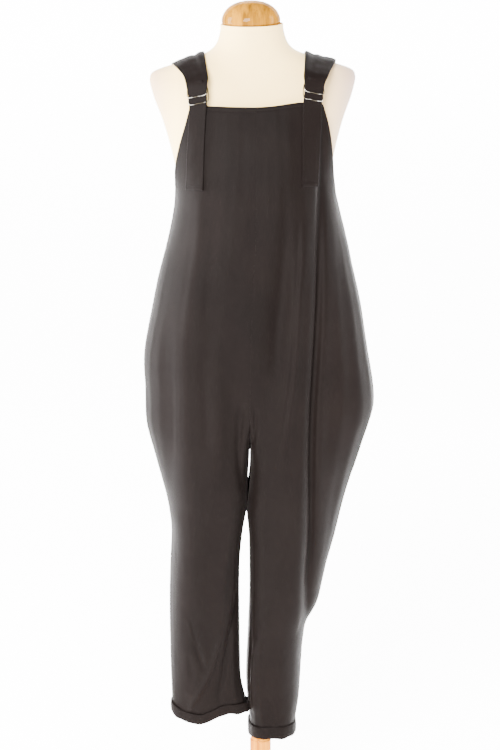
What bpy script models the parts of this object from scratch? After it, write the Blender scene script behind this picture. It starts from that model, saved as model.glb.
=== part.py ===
"""Jumpsuit of dungaree cut on a limbless dress form with a wooden pole and base.

Metres, +Z up. The garment's front faces -Y, the floor is z = 0 and the pole stands on the
axis x = y = 0. Left and right are the wearer's: left is +X. "Out" is the distance from the
pole's axis towards the side that a panel belongs to, so it is x on the left and -x on the right.
"""

import math

import bmesh
import bpy
from mathutils import Matrix, Vector
from mathutils.bvhtree import BVHTree

SIGN = {"left": 1.0, "right": -1.0}

# Cloth
CLOTH = 0.0012  # wall of a panel
DOUBLE_CLOTH = 0.0024  # wall of a strap, two layers
CUFF_CLOTH = 0.0016  # wall of a turned-up hem
TAB_CLOTH = 0.0010
SEAM_GAP = 0.0003
LAID_GAP = 0.0005  # between a leg and its turned-up hem
TAIL_GAP = 0.0009  # between the bib and a strap's tail

# Heights
BIB_TOP = 1.467
BACK_TOP = 1.400
ARMHOLE_FOOT = 1.285  # the side seams start here
FRONT_RISE = 0.875  # the front crotch curve leaves the front here
BACK_RISE = 0.940
CROTCH = 0.794
HEM_LIFT = 0.0030  # a leg ends this much above its cuff's lower edge
HEM_SHAPE_FROM = 0.450  # below this the levels bend to meet the hem's line

# Wooden stand
POLE_RADIUS = 0.0190
POLE_FOOT_RADIUS = 0.0212  # thicker below the garment
POLE_STEP = 0.186
BASE_RADIUS = 0.180
BASE_HEIGHT = 0.024
BASE_EDGE = 0.006

# Dress form: it sits a little to one side on its pole and leans by under a degree.
FORM_FOOT = 0.890
FORM_OFFSET = -0.0084
FORM_LEAN = math.radians(0.75)
NECK_TILT = math.radians(7.0)  # the neck is cut lower in front
NECK_TOP = 1.6160
NECK_ROOT = 1.565
CAP_SHIFT = -0.0015
FORM_SEGMENTS = 32

# Rings and straps
WIRE_RADIUS = 0.0011
RING_WIDTH = 0.0430  # outside
RING_BAR_ABOVE = 0.0180  # the upper ring's bar above the ring group's middle
RING_DROP = 0.0105  # the lower ring hangs this much lower
RING_REACH = 0.0255  # from a ring's bar down to its bow
RING_CORNER = 0.0055
RING_CORNER_STEPS = 3
BAR_DEEP = 0.0046  # a bar lies this far behind the strap's under side
BOW_DEEP = -0.0047  # a bow lies this far in front of it
STRAP_HALF_WIDTH = 0.0186  # where it passes the rings
STRAP_CLEAR = 0.0023  # strap to dress form
RING_ROLL = math.radians(11.0)
TAB_WIDTH = 0.0280
TAB_FOOT = -0.0520  # the tab's lower end below the ring group's middle
TAB_BELOW_BAR = 0.0055  # the tab's hollow ends this far below the lower bar
TAB_ROOM = WIRE_RADIUS + LAID_GAP  # from a bar's middle to the tab
TONGUE_LEVELS = (-0.019, -0.026, -0.036, TAB_FOOT)  # the second one lies on the bib's edge
STRAP_LEVELS = (-0.013, 0.0, 0.013)  # rows of the strap through the rings
STRAP_LEAVES = 0.022  # above the ring group's middle the strap leaves the rings' plane
EDGE_INSET = 0.001  # a ray just under an edge finds its face


def monotone(keys, values, key):
    """Reads a smooth curve through the points, which never overshoots and is level past its ends."""
    if key <= keys[0]:
        return values[0]
    if key >= keys[-1]:
        return values[-1]
    last = len(keys) - 1
    at = max(k for k in range(last) if keys[k] <= key)
    width = keys[at + 1] - keys[at]
    part = (key - keys[at]) / width

    def slope(k):
        return (values[k + 1] - values[k]) / (keys[k + 1] - keys[k])

    def tangent(k):
        if k in (0, last):
            return slope(min(k, last - 1))
        before, after = slope(k - 1), slope(k)
        return 2.0 * before * after / (before + after) if before * after > 0.0 else 0.0

    square, cube = part * part, part * part * part
    return (
        (2 * cube - 3 * square + 1) * values[at]
        + (cube - 2 * square + part) * width * tangent(at)
        + (3 * square - 2 * cube) * values[at + 1]
        + (cube - square) * width * tangent(at + 1)
    )


class Table:
    """Rows of named columns. The first column rises or falls, and the others are read along it."""

    def __init__(self, names, rows):
        order = sorted(rows)
        self.keys = [row[0] for row in order]
        self.columns = {
            name: [row[k] for row in order] for k, name in enumerate(names.split())
        }

    def read(self, name, key):
        return monotone(self.keys, self.columns[name], key)


# Level sections of the dress form, about its own axis. Squareness 2 is an ellipse.
FORM = Table(
    "height half_width front back squareness",
    (
        (1.6160, 0.0585, -0.0575, 0.0575, 2.0),
        (1.5900, 0.0645, -0.0560, 0.0610, 2.0),
        (1.5740, 0.0762, -0.0560, 0.0660, 1.9),
        (1.5650, 0.0935, -0.0560, 0.0690, 1.8),
        (1.5517, 0.1360, -0.0570, 0.0730, 1.7),
        (1.5300, 0.1945, -0.0610, 0.0780, 1.7),
        (1.5150, 0.1975, -0.0660, 0.0820, 1.9),
        (1.4980, 0.1930, -0.0730, 0.0860, 2.0),
        (1.4790, 0.1875, -0.0815, 0.0900, 2.0),
        (1.4590, 0.1790, -0.0890, 0.0930, 2.0),
        (1.4360, 0.1705, -0.0980, 0.0950, 2.0),
        (1.4020, 0.1610, -0.1080, 0.0960, 2.0),
        (1.3700, 0.1530, -0.1140, 0.0960, 2.0),
        (1.3300, 0.1450, -0.1190, 0.0950, 2.1),
        (1.2500, 0.1390, -0.1060, 0.0890, 2.2),
        (1.1550, 0.1220, -0.0880, 0.0810, 2.2),
        (1.0500, 0.1530, -0.0980, 0.1020, 2.3),
        (0.9550, 0.1660, -0.1030, 0.1130, 2.4),
        (0.9050, 0.1600, -0.0970, 0.1060, 2.4),
        (0.8900, 0.1480, -0.0860, 0.0940, 2.4),
    ),
)
FORM_LEVELS = (
    1.6160, 1.603, 1.590, 1.581, 1.574, 1.569, 1.565, 1.559, 1.5517, 1.543, 1.536,
    1.530, 1.523, 1.515, 1.498, 1.479, 1.459, 1.436, 1.402, 1.370, 1.330, 1.250, 1.190, 1.120,
    1.050, 0.955, 0.905, 0.890,
)

# Level sections of the garment. Each side has the widest point, the crest of the fold that
# divides its front from its side, the middle of its front, and how deep the side is tucked
# behind the front at the fold.
OUTLINE = {
    "right": Table(
        "height outer crest apex tuck",
        (
            (1.4680, 0.2020, 0.1100, 0.018, 0.000),
            (1.4360, 0.1925, 0.1130, 0.019, 0.000),
            (1.4000, 0.1840, 0.1150, 0.020, 0.000),
            (1.3617, 0.1805, 0.1180, 0.022, 0.000),
            (1.3370, 0.1748, 0.1190, 0.024, 0.000),
            (1.3100, 0.1680, 0.1210, 0.026, 0.000),
            (1.2850, 0.1662, 0.1230, 0.028, 0.000),
            (1.2700, 0.1672, 0.1240, 0.029, 0.000),
            (1.2484, 0.1732, 0.1260, 0.032, 0.000),
            (1.2058, 0.1821, 0.1310, 0.036, 0.001),
            (1.1395, 0.1995, 0.1400, 0.044, 0.003),
            (1.0746, 0.2118, 0.1500, 0.052, 0.006),
            (1.0232, 0.2242, 0.1590, 0.058, 0.009),
            (0.9714, 0.2311, 0.1600, 0.064, 0.011),
            (0.9214, 0.2273, 0.1603, 0.070, 0.012),
            (0.8599, 0.2287, 0.1606, 0.076, 0.012),
            (0.8325, 0.2213, 0.1608, 0.080, 0.012),
            (0.7940, 0.2110, 0.1620, 0.086, 0.011),
            (0.7592, 0.2017, 0.1640, 0.092, 0.009),
            (0.7150, 0.1895, 0.1680, 0.097, 0.004),
            (0.6800, 0.1819, 0.1620, 0.101, 0.000),
            (0.6407, 0.1765, 0.1560, 0.106, 0.000),
            (0.5647, 0.1802, 0.1560, 0.110, 0.000),
            (0.4679, 0.1831, 0.1570, 0.112, 0.000),
            (0.3700, 0.1826, 0.1560, 0.111, 0.000),
            (0.2764, 0.1806, 0.1560, 0.108, 0.000),
            (0.2474, 0.1804, 0.1560, 0.107, 0.000),
        ),
    ),
    "left": Table(
        "height outer crest apex tuck",
        (
            (1.4680, 0.1730, 0.0990, 0.002, 0.000),
            (1.4337, 0.1680, 0.1080, 0.003, 0.001),
            (1.4000, 0.1605, 0.1080, 0.004, 0.003),
            (1.3644, 0.1535, 0.1060, 0.006, 0.005),
            (1.3370, 0.1484, 0.1053, 0.008, 0.007),
            (1.3100, 0.1450, 0.1047, 0.010, 0.009),
            (1.2850, 0.1488, 0.1040, 0.012, 0.010),
            (1.2484, 0.1571, 0.1035, 0.014, 0.012),
            (1.2058, 0.1675, 0.1027, 0.018, 0.014),
            (1.1590, 0.1766, 0.1021, 0.022, 0.016),
            (1.0845, 0.1947, 0.1008, 0.030, 0.018),
            (0.9954, 0.2091, 0.0966, 0.034, 0.020),
            (0.9374, 0.2202, 0.0935, 0.038, 0.021),
            (0.8952, 0.2249, 0.0915, 0.040, 0.022),
            (0.8658, 0.2210, 0.0908, 0.041, 0.022),
            (0.8366, 0.2081, 0.0903, 0.042, 0.022),
            (0.7940, 0.1950, 0.0903, 0.043, 0.022),
            (0.7489, 0.1803, 0.0908, 0.043, 0.022),
            (0.6976, 0.1661, 0.0910, 0.041, 0.022),
            (0.6417, 0.1535, 0.0903, 0.039, 0.022),
            (0.6022, 0.1437, 0.0885, 0.037, 0.022),
            (0.5667, 0.1333, 0.0862, 0.036, 0.021),
            (0.5269, 0.1250, 0.0855, 0.034, 0.019),
            (0.4974, 0.1198, 0.0853, 0.033, 0.017),
            (0.4784, 0.1139, 0.0848, 0.032, 0.014),
            (0.4594, 0.1019, 0.0820, 0.031, 0.009),
            (0.4382, 0.0883, 0.0700, 0.030, 0.000),
            (0.4169, 0.0885, 0.0690, 0.029, 0.000),
            (0.3956, 0.0847, 0.0670, 0.028, 0.000),
            (0.3271, 0.0813, 0.0640, 0.027, 0.000),
            (0.2667, 0.0775, 0.0600, 0.026, 0.000),
            (0.2280, 0.0706, 0.0550, 0.026, 0.000),
            (0.2005, 0.0704, 0.0550, 0.026, 0.000),
        ),
    ),
}
# The seam between the two halves, as x, and below the crotch each leg's inside seam.
CENTRE_SEAM = Table(
    "height x",
    (
        (1.4680, -0.0103),
        (1.2160, -0.0103),
        (1.1415, -0.0169),
        (1.0232, -0.0197),
        (0.9034, -0.0214),
        (0.7940, -0.0214),
    ),
)
INSIDE_SEAM = {
    "right": Table(
        "height out",
        (
            (0.7940, 0.0214),
            (0.7592, 0.0236),
            (0.7300, 0.0254),
            (0.7100, 0.0272),
            (0.6740, 0.0296),
            (0.6500, 0.0338),
            (0.6250, 0.0370),
            (0.5647, 0.0413),
            (0.4679, 0.0415),
            (0.3700, 0.0407),
            (0.3237, 0.0397),
            (0.2900, 0.0370),
            (0.2764, 0.0286),
            (0.2474, 0.0278),
        ),
    ),
    "left": Table(
        "height out",
        (
            (0.7940, -0.0214),
            (0.7592, -0.0220),
            (0.7300, -0.0236),
            (0.7100, -0.0264),
            (0.6740, -0.0288),
            (0.6500, -0.0258),
            (0.6250, -0.0240),
            (0.6022, -0.0232),
            (0.5269, -0.0230),
            (0.4382, -0.0258),
            (0.3956, -0.0275),
            (0.3271, -0.0305),
            (0.2900, -0.0290),
            (0.2667, -0.0250),
            (0.2280, -0.0218),
            (0.2005, -0.0216),
        ),
    ),
}
DEPTH = Table(
    "height front back_right back_left side_right side_left squareness inside_squareness",
    (
        (1.4680, -0.0965, 0.1000, 0.1000, 0.004, 0.004, 2.2, 2.6),
        (1.4384, -0.1065, 0.1020, 0.1020, 0.004, 0.004, 2.2, 2.6),
        (1.3908, -0.1190, 0.1030, 0.1030, 0.005, 0.005, 2.3, 2.6),
        (1.3381, -0.1275, 0.1030, 0.1030, 0.006, 0.006, 2.2, 2.6),
        (1.3004, -0.1300, 0.1030, 0.1030, 0.007, 0.007, 2.2, 2.6),
        (1.2058, -0.1330, 0.1060, 0.1060, 0.009, 0.009, 2.2, 2.6),
        (1.1395, -0.1340, 0.1110, 0.1110, 0.010, 0.010, 2.3, 2.6),
        (1.0232, -0.1350, 0.1210, 0.1210, 0.012, 0.012, 2.4, 2.6),
        (0.9214, -0.1335, 0.1280, 0.1280, 0.012, 0.012, 2.4, 3.0),
        (0.8599, -0.1310, 0.1280, 0.1280, 0.010, 0.010, 2.4, 3.6),
        (0.7940, -0.1275, 0.1250, 0.1250, 0.008, 0.008, 2.4, 5.0),
        (0.7489, -0.1235, 0.1200, 0.1210, 0.003, 0.012, 2.4, 5.0),
        (0.6407, -0.1090, 0.1040, 0.1110, -0.003, 0.014, 2.4, 4.2),
        (0.5647, -0.0980, 0.0920, 0.1010, -0.005, 0.013, 2.4, 3.6),
        (0.4679, -0.0820, 0.0740, 0.0910, -0.007, 0.012, 2.4, 3.2),
        (0.3700, -0.0630, 0.0530, 0.0830, -0.009, 0.012, 2.4, 3.0),
        (0.2764, -0.0450, 0.0330, 0.0780, -0.010, 0.012, 2.4, 2.7),
        (0.2280, -0.0400, 0.0270, 0.0750, -0.010, 0.012, 2.4, 2.7),
        (0.2005, -0.0400, 0.0260, 0.0740, -0.010, 0.012, 2.4, 2.7),
    ),
)

# Edges of the armholes, as degrees of turn from the side towards the middle of each face.
ARMHOLE = {
    "right": Table(
        "height front back",
        (
            (1.4680, 53.4, 56.0),
            (1.4360, 47.0, 56.0),
            (1.4000, 38.0, 56.0),
            (1.3617, 29.0, 44.0),
            (1.3370, 22.0, 32.0),
            (1.3100, 12.0, 17.0),
            (1.2850, 0.0, 0.0),
        ),
    ),
    "left": Table(
        "height front back",
        (
            (1.4680, 51.2, 58.4),
            (1.4360, 44.0, 58.4),
            (1.4000, 37.0, 58.4),
            (1.3644, 29.0, 45.0),
            (1.3370, 22.0, 32.0),
            (1.3100, 12.0, 17.0),
            (1.2850, 0.0, 0.0),
        ),
    ),
}

# Columns of a front at its fold: where each lies across and how much of the tuck it takes,
# flat where there is no fold, and drawn back under the crest where the fold is full.
FULL_TUCK = 0.022
FOLD_COLUMNS = (
    # plain, folded, share of the tuck
    (0.0100, 0.0110, 0.94),
    (0.0050, 0.0020, 1.00),
    (0.0010, -0.0030, 0.68),
    (-0.0030, 0.0002, 0.10),
    (-0.0085, -0.0075, 0.00),
)
OUTER_COLUMNS = 4
PLANE_COLUMNS = 4
INNER_COLUMNS = 4
BACK_OUTER_COLUMNS = 5
BACK_INNER_COLUMNS = 4

# Levels of the panels. The halves share the upper ones, and a front and a back share them all.
BODY_LEVELS = (
    1.467, 1.436, 1.400, 1.3617, 1.337, 1.310, 1.285, 1.247, 1.206, 1.165, 1.125, 1.085,
    1.045, 1.005, 0.971, 0.937, 0.905, 0.880, 0.856, 0.835, 0.814, 0.794,
)
LEG_LEVELS = {
    "right": (
        0.770, 0.742, 0.715, 0.695, 0.674, 0.650, 0.625, 0.5647, 0.516, 0.468, 0.420, 0.370,
        0.3237, 0.2764,
    ),
    "left": (
        0.770, 0.742, 0.715, 0.695, 0.674, 0.650, 0.625, 0.602, 0.567, 0.527, 0.500,
        0.4784, 0.4594, 0.4382, 0.4169, 0.3956, 0.362, 0.327, 0.295, 0.262, 0.228,
    ),
}

# Soft folds that run down a panel: a ridge stands out, a trough (minus) sinks in.
SOFT_FOLDS = (
    # panel, top, out at the top, foot, out at the foot, half width, rise
    ("front_left", 1.240, 0.044, 0.900, 0.022, 0.020, -0.0070),
    ("front_left", 1.230, 0.074, 0.780, 0.034, 0.011, 0.0050),
    ("front_left", 0.480, -0.006, 0.300, -0.004, 0.010, 0.0040),
    ("front_right", 1.160, 0.138, 0.930, 0.150, 0.020, 0.0040),
    ("front_right", 0.930, 0.038, 0.720, 0.046, 0.010, -0.0060),
    ("front_right", 0.440, 0.048, 0.300, 0.082, 0.013, -0.0070),
    ("front_right", 0.400, 0.150, 0.300, 0.128, 0.014, 0.0040),
    ("back_left", 1.300, 0.050, 0.820, 0.070, 0.022, -0.0070),
    ("back_left", 1.150, 0.115, 0.560, 0.105, 0.024, 0.0080),
    ("back_left", 0.760, 0.055, 0.300, 0.030, 0.016, -0.0060),
    ("back_right", 1.280, 0.070, 0.850, 0.085, 0.022, -0.0070),
    ("back_right", 1.120, 0.130, 0.620, 0.125, 0.024, 0.0070),
    ("back_right", 0.700, 0.080, 0.300, 0.115, 0.016, -0.0060),
)

# Where the top edge of each cuff lies, from the inside seam out to the side seam.
CUFF_LINE = {
    "right": Table(
        "out front back",
        (
            (0.0263, 0.2750, 0.2750),
            (0.0620, 0.2775, 0.2730),
            (0.0900, 0.2680, 0.2690),
            (0.1250, 0.2562, 0.2670),
            (0.1500, 0.2610, 0.2690),
            (0.1730, 0.2710, 0.2740),
            (0.1800, 0.2775, 0.2775),
        ),
    ),
    "left": Table(
        "out front back",
        (
            (-0.0213, 0.2255, 0.2255),
            (0.0250, 0.2272, 0.2280),
            (0.0706, 0.2290, 0.2290),
        ),
    ),
}
CUFF_LEVEL = {"right": 0.2764, "left": 0.2280}
HEM_LEVEL = {"right": 0.2546, "left": 0.2030}

# The two edges of each strap, from the back panel over the shoulder to the rings. "Along" is 0
# at the rings' end of the shoulder part and 1 at the back panel.
STRAP = {
    "right": Table(
        "along near far",
        (
            (0.0, 0.1000, 0.1360),
            (0.05, 0.1010, 0.1460),
            (0.12, 0.1030, 0.1570),
            (0.30, 0.1075, 0.1700),
            (0.45, 0.1080, 0.1710),
            (0.70, 0.0900, 0.1520),
            (1.0, 0.0560, 0.1160),
        ),
    ),
    "left": Table(
        "along near far",
        (
            (0.0, 0.0795, 0.1140),
            (0.05, 0.0797, 0.1215),
            (0.12, 0.0800, 0.1310),
            (0.30, 0.0815, 0.1405),
            (0.45, 0.0815, 0.1415),
            (0.70, 0.0660, 0.1240),
            (1.0, 0.0320, 0.0910),
        ),
    ),
}
TAIL = {
    "right": Table(
        "height near far",
        ((1.467, 0.1020, 0.1325), (1.407, 0.1048, 0.1365), (1.3145, 0.1080, 0.1408)),
    ),
    "left": Table(
        "height near far",
        ((1.467, 0.0753, 0.1110), (1.4255, 0.0753, 0.1100), (1.3215, 0.0751, 0.1045)),
    ),
}
TOP_PULL = {"right": (0.098, 0.0018, 0.030), "left": (0.078, 0.0088, 0.045)}  # out, rise, spread
TAIL_END = {"right": 1.3145, "left": 1.3215}
RING_PLACE = {"right": (0.1186, 1.4938), "left": (0.0970, 1.5000)}  # out, height
TAIL_LEVELS = (1.3240, 1.3370, 1.3617, 1.3800, 1.4000, 1.4180, 1.4360, 1.4520, 1.4620)
STRAP_COLUMNS = 5
SHOULDER_ROWS = 22
PROFILE_STEPS = 90
BEND_WEIGHT = 0.030


def clear_scene():
    for existing in list(bpy.data.objects):
        bpy.data.objects.remove(existing)


def material(name, color, roughness, metallic=0.0):
    """A plain finish for one kind of piece."""
    made = bpy.data.materials.new(name)
    made.use_nodes = True
    shader = made.node_tree.nodes["Principled BSDF"]
    shader.inputs["Base Color"].default_value = (*color, 1.0)
    shader.inputs["Roughness"].default_value = roughness
    shader.inputs["Metallic"].default_value = metallic
    made.diffuse_color = (*color, 1.0)
    return made


def add_object(name, body, finish, smooth_angle=40.0):
    """Closes a piece's mesh the right way out and puts it in the scene."""
    bmesh.ops.triangulate(body, faces=body.faces, quad_method="SHORT_EDGE")
    bmesh.ops.recalc_face_normals(body, faces=body.faces)
    if body.calc_volume(signed=True) < 0.0:
        bmesh.ops.reverse_faces(body, faces=body.faces)
    mesh = bpy.data.meshes.new(name)
    body.to_mesh(mesh)
    body.free()
    mesh.shade_smooth()
    mesh.set_sharp_from_angle(angle=math.radians(smooth_angle))
    mesh.materials.append(finish)
    piece = bpy.data.objects.new(name, mesh)
    bpy.context.collection.objects.link(piece)
    return piece


def lerp(start, end, part):
    return start + (end - start) * part


# ---------------------------------------------------------------- dress form and stand


def form_matrix():
    """Moves the form from its own upright axis to where it sits on the pole."""
    foot = Matrix.Translation((FORM_OFFSET, 0.0, FORM_FOOT))
    return foot @ Matrix.Rotation(-FORM_LEAN, 4, "Y") @ Matrix.Translation((0.0, 0.0, -FORM_FOOT))


def form_section(height):
    """One level ring of the form, about its own axis."""
    half_width = FORM.read("half_width", height)
    front, back = FORM.read("front", height), FORM.read("back", height)
    power = 2.0 / FORM.read("squareness", height)
    middle = 0.5 * (front + back)
    half_depth = 0.5 * (back - front)
    neck_part = min(1.0, max(0.0, (height - NECK_ROOT) / (NECK_TOP - NECK_ROOT)))
    points = []
    for k in range(FORM_SEGMENTS):
        turn = 2.0 * math.pi * k / FORM_SEGMENTS
        across, deep = math.cos(turn), math.sin(turn)
        x = half_width * math.copysign(abs(across) ** power, across)
        y = middle + half_depth * math.copysign(abs(deep) ** power, deep)
        points.append(Vector((x, y, height + y * math.tan(NECK_TILT) * neck_part)))
    return points


def stack_rings(rings):
    """A closed body through rings of the same number of points, capped at both ends."""
    body = bmesh.new()
    loops = [[body.verts.new(point) for point in ring] for ring in rings]
    count = len(loops[0])
    for upper, lower in zip(loops, loops[1:]):
        for k in range(count):
            after = (k + 1) % count
            body.faces.new((upper[k], upper[after], lower[after], lower[k]))
    body.faces.new(reversed(loops[0]))
    body.faces.new(loops[-1])
    return body


def turned(profile, segments):
    """A closed body of revolution from (radius, height) rows, top to bottom."""
    rings = []
    for radius, height in profile:
        turns = [2.0 * math.pi * k / segments for k in range(segments)]
        rings.append([Vector((radius * math.cos(t), radius * math.sin(t), height)) for t in turns])
    return stack_rings(rings)


def make_form(cloth, wood):
    rings = [[form_matrix() @ point for point in form_section(z)] for z in FORM_LEVELS]
    for point in rings[-1]:
        point.z = FORM_FOOT
    add_object("form_body", stack_rings(rings), cloth)

    cap_rows = (
        (0.0150, 0.0432),
        (0.0270, 0.0408),
        (0.0370, 0.0362),
        (0.0450, 0.0292),
        (0.0503, 0.0215),
        (0.0530, 0.0135),
        (0.0536, 0.0085),
        (0.0528, 0.0035),
        (0.0505, 0.0),
    )
    body = turned(cap_rows, 28)
    seat = Matrix.Translation((CAP_SHIFT, 0.0, NECK_TOP + SEAM_GAP))
    tilt = Matrix.Rotation(NECK_TILT, 4, "X")
    bmesh.ops.transform(body, matrix=form_matrix() @ seat @ tilt, verts=body.verts)
    add_object("neck_cap", body, wood)

    pole_rows = (
        (POLE_RADIUS, FORM_FOOT - SEAM_GAP),
        (POLE_RADIUS, POLE_STEP + 0.003),
        (POLE_FOOT_RADIUS, POLE_STEP),
        (POLE_FOOT_RADIUS, BASE_HEIGHT + SEAM_GAP),
    )
    add_object("pole", turned(pole_rows, 24), wood)

    base_rows = (
        (BASE_RADIUS - BASE_EDGE, BASE_HEIGHT),
        (BASE_RADIUS - 0.3 * BASE_EDGE, BASE_HEIGHT - 0.3 * BASE_EDGE),
        (BASE_RADIUS, BASE_HEIGHT - BASE_EDGE),
        (BASE_RADIUS, 0.003),
        (BASE_RADIUS - 0.002, 0.0),
    )
    add_object("stand_base", turned(base_rows, 40), wood)


# ---------------------------------------------------------------- garment sections


def seam_depth(side, face, height):
    """How deep the centre seam lies: on the face above the crotch curve, then back to the crotch."""
    flat = DEPTH.read("front" if face == "front" else f"back_{side}", height)
    middle = DEPTH.read(f"side_{side}", height) + (-0.5 if face == "front" else 0.5) * SEAM_GAP
    rise = FRONT_RISE if face == "front" else BACK_RISE
    if height >= rise:
        return flat
    if height <= CROTCH:
        return middle
    return lerp(flat, middle, ((rise - height) / (rise - CROTCH)) ** 1.8)


class Section:
    """One level of one half of the garment, on its front or its back."""

    def __init__(self, side, face, height):
        outline = OUTLINE[side]
        self.side, self.face, self.height = side, face, height
        self.outer = outline.read("outer", height)
        self.crest = outline.read("crest", height)
        self.apex = outline.read("apex", height)
        self.inner = self.seam_out()
        self.tuck = outline.read("tuck", height) if face == "front" else 0.0
        self.flat = DEPTH.read("front" if face == "front" else f"back_{side}", height)
        self.middle = DEPTH.read(f"side_{side}", height)
        self.power = DEPTH.read("squareness", height)
        self.seam = seam_depth(side, face, height)
        self.first = math.radians(ARMHOLE[side].read(face, height))

    def seam_out(self):
        if self.height >= CROTCH:
            return SIGN[self.side] * CENTRE_SEAM.read("x", self.height) + 0.5 * SEAM_GAP
        return INSIDE_SEAM[self.side].read("out", self.height)

    def angle(self, out):
        """The turn from the widest point (0) to the middle of the face (a quarter circle)."""
        part = min(1.0, max(0.0, (out - self.apex) / (self.outer - self.apex)))
        return math.acos(part ** (0.5 * self.power))

    def outer_point(self, turn):
        out = self.apex + (self.outer - self.apex) * math.cos(turn) ** (2.0 / self.power)
        deep = self.middle + (self.flat - self.middle) * math.sin(turn) ** (2.0 / self.power)
        return out, deep

    def inner_point(self, part):
        turn = 0.5 * math.pi * part
        share = 2.0 / DEPTH.read("inside_squareness", self.height)
        out = self.apex - (self.apex - self.inner) * math.sin(turn) ** share
        deep = self.seam + (self.flat - self.seam) * max(0.0, math.cos(turn)) ** share
        return out, deep

    def soft_folds(self, out):
        """How far the soft folds move a point at this level out of its face."""
        moved = 0.0
        for panel, top, top_out, foot, foot_out, half_width, rise in SOFT_FOLDS:
            if panel != f"{self.face}_{self.side}" or not foot < self.height < top:
                continue
            part = (top - self.height) / (top - foot)
            centre = lerp(top_out, foot_out, part)
            fade = math.sin(math.pi * part) ** 0.7
            moved += rise * fade * math.exp(-(((out - centre) / half_width) ** 2))
        return moved

    def row(self):
        """The level's points from its outer edge to its inner seam, as (out, y)."""
        first = self.first
        points = []
        if self.face == "front":
            lead = self.crest + FOLD_COLUMNS[0][0]
            last = self.angle(lead)
            for k in range(OUTER_COLUMNS):
                part = k / OUTER_COLUMNS
                out, deep = self.outer_point(lerp(first, last, part))
                points.append((out, deep + self.tuck * FOLD_COLUMNS[0][2] * part**1.4))
            for plain, folded, share in FOLD_COLUMNS:
                out = self.crest + lerp(plain, folded, self.tuck / FULL_TUCK)
                deep = self.outer_point(self.angle(self.crest + plain))[1]
                points.append((out, deep + self.tuck * share))
            start = self.crest + FOLD_COLUMNS[-1][0]
            for k in range(1, PLANE_COLUMNS + 1):
                out = lerp(start, self.apex, k / PLANE_COLUMNS)
                points.append((out, self.outer_point(self.angle(out))[1]))
            inner_columns = INNER_COLUMNS
        else:
            for k in range(BACK_OUTER_COLUMNS + 1):
                part = k / BACK_OUTER_COLUMNS
                points.append(self.outer_point(lerp(first, 0.5 * math.pi, part)))
            inner_columns = BACK_INNER_COLUMNS
        for k in range(1, inner_columns + 1):
            points.append(self.inner_point(k / inner_columns))
        if self.height <= ARMHOLE_FOOT:
            gap = -0.5 * SEAM_GAP if self.face == "front" else 0.5 * SEAM_GAP
            points[0] = (points[0][0], self.middle + gap)
        outward = -1.0 if self.face == "front" else 1.0
        seam_out, seam_deep = points[-1]
        points = [(out, deep + outward * self.soft_folds(out)) for out, deep in points[:-1]]
        return points + [(seam_out, seam_deep)]


def levels(side, face):
    """Heights of a panel's levels, from its top edge down to its hem."""
    top = BIB_TOP if face == "front" else BACK_TOP
    inner = [height for height in BODY_LEVELS + LEG_LEVELS[side] if height <= top]
    return inner + [HEM_LEVEL[side] + HEM_LIFT]


def hem_height(side, face, out, height):
    """Where a level lies once the lowest ones have bent to the line of the turned-up hem."""
    level = CUFF_LEVEL[side]
    if height >= HEM_SHAPE_FROM:
        return height
    bend = CUFF_LINE[side].read(face, out) - level
    share = min(1.0, (HEM_SHAPE_FROM - height) / (HEM_SHAPE_FROM - level))
    return height + bend * share * share


def top_lift(side, out, height):
    """The rings pull the bib's top edge up a little where they hold it."""
    place, pull, spread = TOP_PULL[side]
    near_top = max(0.0, 1.0 - (BIB_TOP - height) / 0.05)
    return pull * near_top * math.exp(-(((out - place) / spread) ** 2))


def panel_grid(side, face):
    """The outer face of a panel as rows of points, with the level of each row."""
    grid = []
    heights = levels(side, face)
    for height in heights:
        row = []
        for out, deep in Section(side, face, height).row():
            z = hem_height(side, face, out, height)
            if face == "front":
                z += top_lift(side, out, height)
            row.append(Vector((SIGN[side] * out, deep, z)))
        grid.append(row)
    return heights, grid


def grid_normals(grid):
    """Normals of a grid of points. They all point to the same side of it."""
    rows, columns = len(grid), len(grid[0])
    normals = []
    for i in range(rows):
        line = []
        for j in range(columns):
            down = grid[min(i + 1, rows - 1)][j] - grid[max(i - 1, 0)][j]
            across = grid[i][min(j + 1, columns - 1)] - grid[i][max(j - 1, 0)]
            line.append(across.cross(down).normalized())
        normals.append(line)
    return normals


def shell(outer, inner):
    """A closed wall between two grids of points of the same size."""
    body = bmesh.new()
    near = [[body.verts.new(point) for point in row] for row in outer]
    far = [[body.verts.new(point) for point in row] for row in inner]
    rows, columns = len(outer), len(outer[0])
    for i in range(rows - 1):
        for j in range(columns - 1):
            body.faces.new((near[i][j], near[i][j + 1], near[i + 1][j + 1], near[i + 1][j]))
            body.faces.new((far[i][j], far[i + 1][j], far[i + 1][j + 1], far[i][j + 1]))
    for j in range(columns - 1):
        body.faces.new((near[0][j], far[0][j], far[0][j + 1], near[0][j + 1]))
        body.faces.new((near[-1][j], near[-1][j + 1], far[-1][j + 1], far[-1][j]))
    for i in range(rows - 1):
        body.faces.new((near[i][0], near[i + 1][0], far[i + 1][0], far[i][0]))
        body.faces.new((near[i][-1], far[i][-1], far[i + 1][-1], near[i + 1][-1]))
    return body


def make_panel(side, face, cloth):
    """A front or back panel, with its wall on the inside of its outer face."""
    heights, grid = panel_grid(side, face)
    normals = grid_normals(grid)
    outward = SIGN[side] * (1.0 if face == "front" else -1.0)
    inner = []
    for height, row, row_normals in zip(heights, grid, normals):
        line = []
        for j, (point, normal) in enumerate(zip(row, row_normals)):
            away = -outward * normal
            if height == heights[0]:
                away.z = 0.0
            if j == 0 and height <= ARMHOLE_FOOT:
                away.y = 0.0
            if j == len(row) - 1:
                if height >= CROTCH:
                    away.x = 0.0
                if height <= CROTCH:
                    away.y = 0.0
            line.append(point + away.normalized() * CLOTH)
        inner.append(line)
    body = shell(grid, inner)
    add_object(f"{face}_{side}", body, cloth)


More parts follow.
